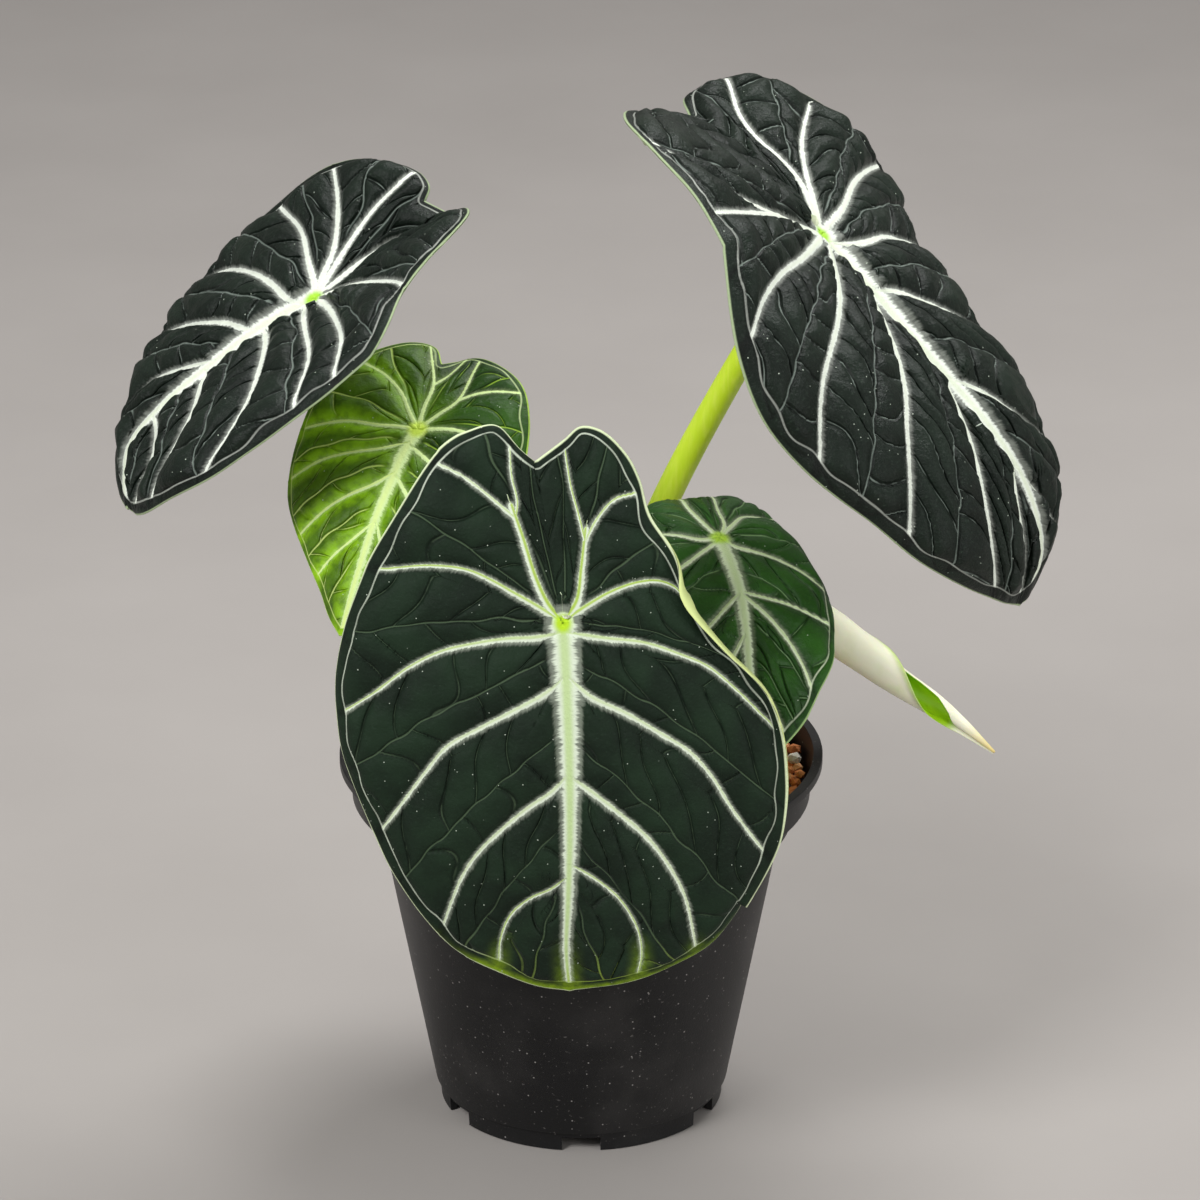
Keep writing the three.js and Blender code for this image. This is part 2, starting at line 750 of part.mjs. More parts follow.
// The plane that a petiole's top end lies in, just below the blade's midrib.
function joinPlane(leaf) {
  const normal = bladeNormal(leaf, 0, 0);
  const depth = blade.halfThickness + blade.midribDepth[0] + gap;
  const point = bladePoint(leaf, 0, 0).addScaledVector(normal, -depth);
  return { point, normal };
}

// A round stalk that starts in the granules. Its top end is cut off along the plane.
function stalkGeometry(route, radii, plane, grow = 0) {
  const [foot, ...rest] = route;
  const [x, y] = foot;
  const base = bed.top - bed.stemDepth - grow;
  const points = [
    new THREE.Vector3(x, y, base),
    new THREE.Vector3(x, y, bed.top + petioleUpright),
    ...rest.map((point) => new THREE.Vector3(...point)),
    plane.point,
  ];
  const curve = new THREE.CatmullRomCurve3(points, false, 'centripetal');
  const rings = sweptRings(curve, petioleSteps, (share) => {
    const flare = 1 + petioleFlare.amount * smooth(1 - share / petioleFlare.length);
    return circle(mix(radii[0], radii[1], share) * flare + grow, petioleSides);
  });
  const direction = curve.getTangentAt(1);
  const top = rings.at(-1);
  top.forEach((point) => {
    const away = plane.point.clone().sub(point).dot(plane.normal);
    point.addScaledVector(direction, away / direction.dot(plane.normal));
  });
  return skinned(rings);
}

function stemGeometry(grow = 0) {
  const { radius, height, sides } = stem;
  const foot = bed.top - bed.stemDepth - grow;
  const profile = [
    [0, foot],
    [radius * 0.8 + grow, foot],
    [radius + grow, bed.top],
    [radius * 0.9 + grow, bed.top + height * 0.55],
    [radius * 0.5 + grow, bed.top + height * 0.9],
    [0, bed.top + height + grow],
  ];
  return geometryOf(solidOf(turned(profile, sides)));
}

// The new leaf

function rolledSection(share) {
  const { radius, sides, seamStep, seamAngles, overlap } = rolledLeaf;
  const place = radius.findIndex(([at]) => at >= share);
  const from = Math.max(place - 1, 0);
  const [[fromShare, fromRadius], [toShare, toRadius]] = radius.slice(from, from + 2);
  const outer = mix(fromRadius, toRadius, (share - fromShare) / (toShare - fromShare));
  const seam = radians(mix(...seamAngles, share));
  return Array.from({ length: sides }, (_, side) => {
    const angle = seam + (2 * Math.PI * side) / (sides - 1 + overlap);
    const reach = outer * mix(seamStep, 1, side / (sides - 1));
    return [reach * Math.cos(angle), reach * Math.sin(angle)];
  });
}

function rolledCurve() {
  const points = rolledLeaf.axis.map((point) => new THREE.Vector3(...point));
  return new THREE.CatmullRomCurve3(points, false, 'centripetal');
}

function rolledPlane() {
  const curve = rolledCurve();
  const tangent = curve.getTangentAt(rolledLeaf.joinAt);
  const below = new THREE.Vector3(0, 0, -1).addScaledVector(tangent, tangent.z).normalize();
  const point = curve.getPointAt(rolledLeaf.joinAt).addScaledVector(below, rolledLeaf.joinDepth + gap);
  return { point, normal: below.clone().negate() };
}

// Pot

function potProfiles() {
  const { height, lipRadius, lipWidth, lipHeight, collarRadius, collarTop, collarBottom } = pot;
  const { bodyTopRadius, footRadius, footHeight, footInset, skirtThickness, wall, floorTop, ledge } = pot;
  const skirtRadius = footRadius - footInset;
  const inner = [
    [0, floorTop],
    [footRadius - wall, floorTop],
    [bodyTopRadius - wall, collarBottom + 1],
    [collarRadius - wall, collarBottom + ledge],
    [collarRadius - wall, collarTop - 1.2],
    [lipRadius - lipWidth - 2.2, collarTop + 3.5],
    [lipRadius - lipWidth, height],
  ];
  const outer = [
    [lipRadius, height],
    [lipRadius, height - lipHeight],
    [lipRadius - lipWidth, height - lipHeight - 0.6],
    [lipRadius - lipWidth - 0.6, collarTop + 2.5],
    [collarRadius + 0.4, collarTop - 2.5],
    [collarRadius, collarBottom],
    [bodyTopRadius, collarBottom - 0.4],
    [footRadius, footHeight],
    [skirtRadius, footHeight - 0.4],
    [skirtRadius - 0.3, 0],
    [skirtRadius - 0.3 - skirtThickness, 0],
    [skirtRadius - 0.3 - skirtThickness, floorTop - wall],
    [0, floorTop - wall],
  ];
  return { inner, outer };
}

function potGeometry() {
  const { inner, outer } = potProfiles();
  let solid = solidOf(turned([...inner, ...outer], pot.segments));
  for (let i = 0; i < pot.notches; i += 1) {
    const angle = (2 * Math.PI * i) / pot.notches - Math.PI / 2;
    const notch = new THREE.BoxGeometry(pot.notchDepth, pot.notchWidth, 2 * pot.notchHeight);
    notch.translate(pot.footRadius - pot.notchDepth / 4, 0, 0).rotateZ(angle);
    solid = solid.subtract(solidOf(notch));
  }
  for (let i = 0; i < pot.drainHoles; i += 1) {
    const angle = (2 * Math.PI * (i + 0.5)) / pot.drainHoles - Math.PI / 2;
    const [x, y] = [pot.drainRingRadius * Math.cos(angle), pot.drainRingRadius * Math.sin(angle)];
    const hole = new THREE.CylinderGeometry(pot.drainRadius, pot.drainRadius, 2 * pot.floorTop, 10);
    hole.rotateX(Math.PI / 2).translate(x, y, pot.floorTop);
    solid = solid.subtract(solidOf(hole));
  }
  return geometryOf(solid);
}

// The room inside the pot, as large as the granules may fill it.
function cavityProfile() {
  return potProfiles().inner.map(([radius, height]) => [Math.max(radius - gap, 0), height + gap]);
}

// Granules: a plug that fills the pot, with rings of lumps on top and a hole for each stem.
function bedGeometry(holes, dimples) {
  const cavity = cavityProfile();
  const side = cavity.filter(([, height]) => height < bed.top);
  const wallFoot = cavity[side.length];
  const plug = [...side, [wallFoot[0] - gap, bed.top], [0, bed.top]];
  const random = seededRandom(7);
  const lumps = [];
  for (let ring = 0; ring <= bed.rings; ring += 1) {
    const radius = Math.min(ring * bed.ringStep, wallFoot[0] - bed.granuleRadius);
    const count = ring === 0 ? 1 : Math.floor((2 * Math.PI * radius) / bed.ringStep);
    for (let i = 0; i < count; i += 1) {
      const angle = (2 * Math.PI * (i + 0.5 * (ring % 2) + 0.3 * random())) / count;
      const size = bed.granuleRadius * (0.85 + 0.25 * random());
      const lump = new THREE.IcosahedronGeometry(size, 0);
      lump.rotateX(6 * random()).rotateZ(6 * random());
      const height = bed.top - bed.sunk + bed.unevenness * (random() - 0.5);
      lump.translate(radius * Math.cos(angle), radius * Math.sin(angle), height);
      lumps.push(solidOf(lump));
    }
  }
  const room = solidOf(turned([...cavity, [0, pot.height + gap]], pot.segments));
  let solid = wasm.Manifold.union([solidOf(turned(plug, pot.segments)), ...lumps]).intersect(room);
  [...holes, ...dimples].forEach((hole) => {
    solid = solid.subtract(solidOf(hole));
  });
  return geometryOf(solid);
}

function whiteGeometry({ at, radius }, grow = 0) {
  const size = radius + grow;
  const ball = new THREE.IcosahedronGeometry(size, 1).scale(1, 1, whiteFlattening);
  ball.translate(...at, bed.top + radius * whiteFlattening - whiteSunk);
  return geometryOf(solidOf(ball));
}

// The plant in its pot

const plant = new THREE.Group();

function addMesh(name, geometry, finish) {
  const mesh = new THREE.Mesh(geometry, new THREE.MeshStandardMaterial(finish));
  mesh.name = name;
  plant.add(mesh);
}

const leafFinishes = {
  front: colours.darkLeaf,
  left: colours.darkLeaf,
  left_small: colours.youngLeaf,
  right: colours.darkLeaf,
  right_small: colours.greenLeaf,
};

const holes = [stemGeometry(gap)];
petioles.forEach(({ leaf: drawn, route, radius }) => {
  const leaf = prepareLeaf(drawn);
  const plane = joinPlane(leaf);
  addMesh(`leaf_${leaf.name}`, leafGeometry(leaf), leafFinishes[leaf.name]);
  addMesh(`petiole_${leaf.name}`, stalkGeometry(route, radius, plane), colours.petiole);
  holes.push(stalkGeometry(route, radius, plane, gap));
});

const rolledStalk = [rolledLeaf.petioleRoute, rolledLeaf.petioleRadius, rolledPlane()];
const rolledRings = sweptRings(rolledCurve(), rolledLeaf.steps, rolledSection);
addMesh('leaf_rolled', skinned(rolledRings), colours.rolledLeaf);
addMesh('petiole_rolled', stalkGeometry(...rolledStalk), colours.petiole);
holes.push(stalkGeometry(...rolledStalk, gap));

addMesh('stem_base', stemGeometry(), colours.stem);
addMesh('pot', potGeometry(), colours.pot);
const dimples = whiteGranules.map((granule) => whiteGeometry(granule, gap));
addMesh('granule_bed', bedGeometry(holes, dimples), colours.granules);
whiteGranules.forEach((granule, i) => {
  addMesh(`white_granule_${i + 1}`, whiteGeometry(granule), colours.whiteGranule);
});

export default plant;
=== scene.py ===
import bpy
import math
import random
import numpy as np
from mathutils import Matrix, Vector


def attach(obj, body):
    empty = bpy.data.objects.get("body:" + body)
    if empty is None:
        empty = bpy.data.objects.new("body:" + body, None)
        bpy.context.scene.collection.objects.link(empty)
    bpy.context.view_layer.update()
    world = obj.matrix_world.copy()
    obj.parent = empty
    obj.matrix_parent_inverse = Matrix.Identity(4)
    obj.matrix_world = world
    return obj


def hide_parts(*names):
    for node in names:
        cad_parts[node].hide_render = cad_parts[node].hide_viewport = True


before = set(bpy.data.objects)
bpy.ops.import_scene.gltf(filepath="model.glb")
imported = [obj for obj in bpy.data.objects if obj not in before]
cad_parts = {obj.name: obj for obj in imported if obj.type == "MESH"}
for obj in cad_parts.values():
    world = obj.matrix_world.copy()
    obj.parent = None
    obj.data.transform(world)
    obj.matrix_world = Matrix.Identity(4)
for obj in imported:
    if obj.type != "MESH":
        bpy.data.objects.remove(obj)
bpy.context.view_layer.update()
bpy.ops.object.select_all(action="DESELECT")
print("frame loaded:", len(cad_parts), "nodes")

mm = 0.001

# Each blade is drawn flat in millimetres, seen from its upper face with the tip down: x runs out from
# the midrib, y along it to the tip, and the stalk meets the blade at (0, 0). The bends are the same as the
# solids have, and so is the drawing, but for a few millimetres at the margins of the front and right
# leaves. The halves' outlines and veins give x as the distance from the midrib. "veins" are the lines that
# divide a half into panels: where one starts on the midrib, a place on its way, and its end. "rolls" are
# the stretches where the margin curls: the side, the middle and half width of the stretch in degrees round
# the stalk from the tip, how far the margin turns, and the width of the strip that turns.
frontLeaf = {
    "name": "leaf_front",
    "petioleJoin": [-5, -84, 195.4],
    "aim": {"azimuth": 0, "droop": 80, "roll": -1.6},
    "length": 120,
    "baseLength": 56,
    "bendTip": {"degrees": 24, "power": 1.2},
    "bendBase": 10,
    "sway": 0,
    "twist": 0,
    "puff": 1.7,
    "cleft": [-8, -48],
    "tip": [1, 123],
    "tipVia": [0, 100],
    "left": {
        "tilt": [8, 5, 2],
        "arch": [12, 13, 15],
        "outline": [[13, -52], [20, -59], [28, -57], [37, -51], [52, -28], [60, -12], [67.3, 8], [69.4, 25],
                    [67.3, 43], [61.8, 59], [53, 80], [43, 97], [34, 108], [20, 116], [9, 121]],
        "veins": [[0, 8, -26, 14, -54], [0, 9, -24, 36, -51], [0, 30, -14, 58, -17], [0, 36, 6, 68, 29],
                  [20, 31, 36, 58, 68], [48, 21, 66, 40, 101], [78, 12, 92, 22, 115]],
    },
    "right": {
        "tilt": [8, 5, 2],
        "arch": [8, 10, 15],
        "outline": [[0, -54], [5, -58], [11.5, -56.8], [18.8, -50], [22.8, -42.5], [26, -31.5],
                    [36.4, -18.5], [41.6, -5], [51.6, 8], [63.8, 23.5], [67, 38], [67, 56], [65, 71],
                    [56, 91], [45, 108], [34, 115], [20, 120], [8, 122]],
        "veins": [[0, 7, -22, 4, -57], [0, 6, -21, 21, -47], [0, 24, -14, 43, -7], [0, 34, 9, 66, 41],
                  [20, 34, 38, 64, 79], [48, 24, 70, 43, 109], [78, 12, 96, 25, 119]],
    },
    "rolls": [
        ("right", 92, 62, 165, 8),
        ("left", 80, 70, -38, 9),
        ("right", 25, 34, -30, 8),
        ("left", 172, 22, -60, 7),
    ],
}

leftLeaf = {
    "name": "leaf_left",
    "petioleJoin": [-80, 0, 265.1],
    "aim": {"azimuth": -70, "droop": 29, "roll": 11},
    "length": 106,
    "baseLength": 49,
    "bendTip": {"degrees": 80, "power": 2.6},
    "bendBase": 2,
    "sway": -17,
    "twist": 9,
    "puff": 2.1,
    "cleft": [-8, -45],
    "tip": [26, 84],
    "tipVia": [1, 74],
    "left": {
        "tilt": [26, 8, -5],
        "arch": [20, 30, 37],
        "outline": [[12, -49], [25, -48], [36, -40], [45, -28], [53, -11], [60, 2], [60, 16], [57, 29],
                    [51, 41], [39, 54], [25, 67], [6, 79], [-12, 85]],
        "veins": [[0, 11, -24, 18, -49], [0, 14, -16, 43, -31], [0, 22, -12, 53, -10], [0, 22, 5, 59, 22],
                  [18, 16, 23, 49, 44], [36, 12, 46, 22, 69], [58, 4, 68, 0, 82]],
    },
    "right": {
        "tilt": [30, 18, 3],
        "arch": [3, 6, 14],
        "outline": [[4, -50], [18, -52], [32, -47], [38, -33], [44, -20], [54, -10], [59, 0], [59, 14],
                    [59, 30], [58, 44], [54, 58], [44, 71], [35, 80]],
        "veins": [[0, 0, -24, 14, -51], [0, 6, -22, 34, -42], [0, 14, -13, 46, -18], [0, 30, -2, 59, 14],
                  [18, 20, 23, 56, 50], [36, 18, 48, 42, 73], [58, 22, 66, 31, 82]],
    },
    "rolls": [
        ("right", 60, 80, -42, 7),
        ("left", 150, 28, -55, 7),
    ],
}

smallLeftLeaf = {
    "name": "leaf_left_small",
    "petioleJoin": [-48.9, -20, 230.8],
    "aim": {"azimuth": -27, "droop": 34, "roll": 8},
    "length": 68,
    "baseLength": 31,
    "bendTip": {"degrees": 38, "power": 1.5},
    "bendBase": 18,
    "sway": 0,
    "twist": 14,
    "puff": 0.9,
    "cleft": [-4, -27],
    "tip": [-1, 69],
    "tipVia": [0, 58],
    "left": {
        "tilt": [7, 7, -10],
        "arch": [25, 23, 29],
        "outline": [[9, -33], [17, -32], [27, -23], [33, -11], [37, 4], [37, 20], [35, 31], [29, 41],
                    [21, 50], [13, 58], [7, 65]],
        "veins": [[0, 4, -15, 13, -33], [0, 12, -9, 30, -19], [0, 18, 0, 37, 10], [9, 19, 11, 35, 31],
                  [18, 13, 24, 27, 44], [34, 8, 42, 17, 55]],
    },
    "right": {
        "tilt": [11, 5, 0],
        "arch": [25, 25, 25],
        "outline": [[4, -33], [14, -31], [24, -25], [31, -14], [35, -2], [37, 10], [37, 22], [34, 34],
                    [28, 44], [19, 53], [10, 61], [4, 67]],
        "veins": [[0, 3, -15, 10, -33], [0, 9, -12, 28, -20], [0, 18, -4, 36, 4], [9, 19, 12, 36, 27],
                  [18, 14, 25, 29, 43], [34, 9, 42, 17, 55]],
    },
    "rolls": [
        ("left", 70, 70, -25, 6),
    ],
}

rightLeaf = {
    "name": "leaf_right",
    "petioleJoin": [71.9, 5, 283.8],
    "aim": {"azimuth": 53, "droop": 38, "roll": 8},
    "length": 147,
    "baseLength": 66,
    "bendTip": {"degrees": 90, "power": 2.9},
    "bendBase": 25,
    "sway": 28,
    "twist": 4,
    "puff": 2.3,
    "cleft": [5, -58],
    "tip": [-13, 132],
    "tipVia": [-1, 118],
    "left": {
        "tilt": [13, 21, -4],
        "arch": [-6, 12, 45],
        "outline": [[10, -62], [26, -62], [44, -56], [60, -46], [68, -34], [73, -14], [80, 6], [86, 27],
                    [86, 47], [78, 67], [66, 88], [55, 107], [41, 120], [28, 127.5], [20, 131]],
        "veins": [[0, 27, -22, 40, -58], [0, 33, -8, 74, -12], [0, 52, 6, 86, 29], [8, 48, 32, 79, 67],
                  [26, 31, 55, 60, 99], [60, 18, 87, 32, 128], [92, 9, 108, 20, 134]],
    },
    "right": {
        "tilt": [19, 5, 0],
        "arch": [16, 28, 33],
        "outline": [[12, -65], [24, -67], [40, -62], [54, -48], [67, -34], [74, -20], [72, -4], [62, 16],
                    [54, 35], [52, 52], [49, 67], [42, 84], [31, 101], [18, 115], [3.5, 125], [-6, 130.5]],
        "veins": [[0, 11, -40, 32, -65], [0, 19, -24, 56, -46], [0, 40, -15, 74, -20], [8, 30, 3, 66, 10],
                  [26, 18, 32, 52, 48], [60, 11, 62, 41, 86], [92, 8, 98, 14, 118]],
    },
    "rolls": [
        ("left", 55, 70, -45, 8),
        ("right", 158, 22, -80, 7),
    ],
}

smallRightLeaf = {
    "name": "leaf_right_small",
    "petioleJoin": [42.3, -8, 190.5],
    "aim": {"azimuth": 11, "droop": 19, "roll": 0},
    "length": 83,
    "baseLength": 37,
    "bendTip": {"degrees": 41, "power": 1.5},
    "bendBase": 35,
    "sway": 0,
    "twist": 4,
    "puff": 1.2,
    "cleft": [-1, -29],
    "tip": [0, 83],
    "tipVia": [-1, 66],
    "left": {
        "tilt": [-14, 5, 0],
        "arch": [27, 25, 25],
        "outline": [[7, -37], [15, -36], [23, -28], [29, -15], [32, 0], [33, 14], [32, 30], [28, 45],
                    [21, 58], [12, 70], [4, 79]],
        "veins": [[0, 6, -17, 11, -37], [0, 11, -8, 31, -8], [0, 14, 10, 33, 22], [25, 13, 33, 28, 45],
                  [36, 9, 48, 21, 58], [54, 6, 62, 12, 70]],
    },
    "right": {
        "tilt": [-14, -10, 4],
        "arch": [40, 38, 33],
        "outline": [[6, -36], [14, -38], [23, -30], [28, -10], [32, 3], [33.5, 14], [32, 27], [30, 39],
                    [26, 51], [20, 61], [13, 71], [6, 78]],
        "veins": [[0, 2, -15, 5, -35], [0, 10, -14, 25, -25], [0, 19, 6, 33, 20], [25, 14, 40, 21, 60],
                  [36, 10, 56, 15, 69], [54, 6, 66, 8, 76]],
    },
    "rolls": [
        ("right", 60, 60, -25, 6),
    ],
}

# The pale veins as they are painted on each blade, in the flat drawing, with x to the right. A vein is its
# half width at both ends, how green its core is at both ends, and its line. "inset" is how far from the
# margin the thin vein runs that follows it, and "rim" is how wide the pale edge is.
frontPaint = {
    "midrib": {
        "line": [[0, 0], [1, 17], [1.8, 40], [1.9, 64], [1.1, 89], [0.3, 106], [1, 121]],
        "wide": [5.3, 1.0],
        "green": [0.85, 0.9],
        "taper": 0.9,
    },
    "veins": [
        ([2.9, 1.7], [1, 0.9], [[0, 0], [-4.4, -5], [-8.2, -13], [-12, -25], [-14.1, -31.1]]),
        ([1.0, 0.4], [0.8, 0.6], [[-14.1, -31.1], [-13.6, -36], [-15.3, -43.6], [-15.8, -51]]),
        ([1.6, 0.6], [0.5, 0.3], [[-14.1, -31.1], [-17.4, -33.8], [-23.9, -39.2], [-29.3, -43.2],
         [-34.8, -46]]),
        ([2.6, 0.7], [0.8, 0.9], [[0, 0], [-9.3, -5.8], [-15.2, -9.2], [-20.7, -12.4], [-28.2, -15.7],
         [-39.1, -16.9], [-52.3, -15.7]]),
        ([2.7, 0.6], [0.5, 0.8], [[0, 3], [-7.6, 4.6], [-16.3, 5], [-25.1, 6.3], [-36, 9], [-45.9, 14.3],
         [-54.9, 21.5], [-63.4, 27.6]]),
        ([2.5, 0.7], [0.35, 0.3], [[0, 17], [-4.4, 21.2], [-14.3, 26.8], [-25.2, 32.7], [-34.1, 38.1],
         [-40.8, 46.6], [-47.7, 56.7], [-53.5, 65.2]]),
        ([2.3, 0.7], [0.35, 0.3], [[0.9, 47.8], [-3.5, 52.6], [-10.1, 57.3], [-19, 65.3], [-25.7, 72.9],
         [-30.3, 80.7], [-33.8, 90.1], [-36.8, 99.8]]),
        ([1.3, 0.5], [0.7, 1], [[0.7, 80.9], [-3.8, 84.7], [-10.5, 88.2], [-16.1, 93.9], [-19.3, 102.8],
         [-20, 112.6]]),
        ([2.8, 1.6], [1, 0.9], [[0, 0], [4.4, -6.4], [5.8, -16.3], [6.6, -24]]),
        ([1.1, 0.4], [0.9, 0.9], [[6.6, -24], [4.4, -32.7], [2.3, -40.3], [0.5, -51]]),
        ([1.5, 0.6], [0.6, 0.9], [[6.6, -24], [10.4, -31.2], [15.3, -36.7], [21.3, -38.6]]),
        ([2.5, 0.8], [0.9, 1], [[0, 0], [7.6, -5.3], [14.2, -9.3], [21.8, -12.2], [28.3, -12.8],
         [34, -10.5], [40, -5]]),
        ([2.6, 0.6], [0.5, 0.8], [[0, 3], [12, 4.6], [24, 5.8], [34.9, 9.4], [42.5, 12.8], [51.2, 20.3],
         [59, 28.6]]),
        ([2.6, 0.7], [0.35, 0.3], [[2, 17], [7.6, 22.2], [18.5, 27.4], [29.4, 34], [37.1, 39.2],
         [43.7, 47.1], [49.2, 57], [54.8, 66], [59.3, 72.8]]),
        ([2.5, 0.8], [0.35, 0.3], [[2, 47.8], [7.5, 51.8], [16.2, 58.9], [25, 67.4], [31.6, 77.6],
         [36, 88.2], [38.7, 103.3]]),
        ([1.3, 0.5], [0.6, 0.9], [[2, 76.4], [9.5, 81.3], [16.1, 87.7], [21.5, 98.3], [22.8, 108],
         [22, 113.7]]),
    ],
    "inset": 4.4,
    "rim": 0.9,
}

leftPaint = {
    "midrib": {
        "line": [[0, 0], [-1.8, 8.7], [-2.6, 21], [-0.6, 38], [0.6, 58], [2.5, 72], [14, 80], [24, 83]],
        "wide": [4.8, 1.5],
        "green": [0.6, 0.4],
        "taper": 0.9,
    },
    "veins": [
        ([1.9, 0.6], [0.2, 0], [[0, 0], [-6, -3], [-14.6, -5.6], [-29.4, -10.2], [-45.4, -10.5]]),
        ([1.9, 0.6], [0.2, 0], [[0, 0], [-6, -6], [-13.1, -14.3], [-27.5, -23.8], [-40.9, -29.6]]),
        ([1.9, 0.6], [0.2, 0], [[0, 0], [-5, -8], [-11, -18.8], [-16.3, -31.3], [-18.5, -42.9]]),
        ([1.7, 0.6], [0.2, 0], [[0, 0], [-1, -7], [-2.3, -21.2], [-0.3, -34.6], [8, -43.1]]),
        ([1.7, 0.6], [0.2, 0], [[0, 0], [5, -7], [12.2, -12.9], [36.8, -20.7], [46, -20]]),
        ([1.8, 0.6], [0.2, 0], [[0, 0], [10, -1.1], [25.9, 0.1], [38.9, 2.7], [46.4, 6.3], [55.1, 11.4]]),
        ([1.6, 0.5], [0.2, 0], [[-0.5, 3], [7, 6], [16.1, 8.4], [36.6, 13.8], [52, 24]]),
        ([1.9, 0.6], [0.2, 0], [[-1, 4.4], [-7, 6.4], [-16.2, 6.9], [-29, 9], [-46.1, 15.1], [-54, 21.5]]),
        ([1.8, 0.6], [0.2, 0], [[-2.4, 20], [-7, 22.4], [-13.9, 24.7], [-26, 31.7], [-38.6, 39.8],
         [-46, 46]]),
        ([1.6, 0.6], [0.2, 0], [[-1, 34.9], [-4, 38.4], [-8.7, 43.9], [-16.2, 53.9], [-18, 64]]),
        ([1.7, 0.6], [0.2, 0], [[-2.2, 17.7], [6, 19.4], [19.3, 25.1], [34.3, 34.4], [43.9, 44.9],
         [49, 54]]),
        ([1.5, 0.5], [0.2, 0], [[-0.6, 38.4], [5, 42.6], [15.9, 48.7], [24, 56.5], [34, 71]]),
        ([1.3, 0.5], [0.2, 0], [[0.8, 60], [12, 63], [21, 68], [27, 77]]),
    ],
    "inset": 3.6,
    "rim": 0.7,
}

smallLeftPaint = {
    "midrib": {
        "line": [[0, 0], [-0.7, 10.8], [-0.4, 17.9], [-0.5, 30.7], [0, 46.6], [0, 66]],
        "wide": [3.2, 1.3],
        "green": [0.6, 0.8],
        "taper": 0.8,
    },
    "veins": [
        ([1.6, 0.6], [0.6, 0.8], [[0, 0], [-6, 1], [-12.3, 2.4], [-21.7, 3.5], [-34.2, 8]]),
        ([1.5, 0.5], [0.4, 0.6], [[0, 0], [-5, -5], [-10, -10.6], [-17.6, -15.6], [-25.7, -18.4]]),
        ([1.6, 0.5], [0.3, 0.5], [[0, 0], [-1.5, -8], [-2.5, -17.2], [-8.5, -28.9]]),
        ([0.9, 0.4], [0.3, 0.5], [[-2.5, -17.2], [0.6, -24], [2.2, -30.7]]),
        ([1.5, 0.5], [0.3, 0.5], [[0, 0], [4, -7], [7.6, -13.6], [7.2, -26.6]]),
        ([1, 0.5], [0.3, 0.5], [[7.6, -13.6], [12, -17.5], [16.9, -20], [24.4, -22]]),
        ([1.6, 0.5], [0.3, 0.5], [[0, 0], [11.5, -3], [24, -1.5], [35, 4]]),
        ([1.5, 0.5], [0.3, 0.5], [[0, 6], [10, 11], [22, 18], [34, 28]]),
        ([1.3, 0.5], [0.3, 0.5], [[0, 17], [10, 26], [20, 34], [28, 42]]),
        ([1.1, 0.4], [0.4, 0.6], [[0, 33], [6, 42], [12, 49], [16, 55]]),
        ([1.2, 0.5], [0.8, 1], [[-0.5, 5], [-8, 9.5], [-18.6, 13.8], [-25.7, 17.4], [-35, 25]]),
        ([1.5, 0.5], [0.8, 1], [[-0.5, 16], [-5, 21], [-12.8, 26.9], [-18, 31.7], [-25.8, 41.4]]),
        ([1.1, 0.4], [0.8, 1], [[-0.5, 33], [-6, 40], [-11, 46], [-16, 54]]),
    ],
    "inset": 2.4,
    "rim": 0.6,
}

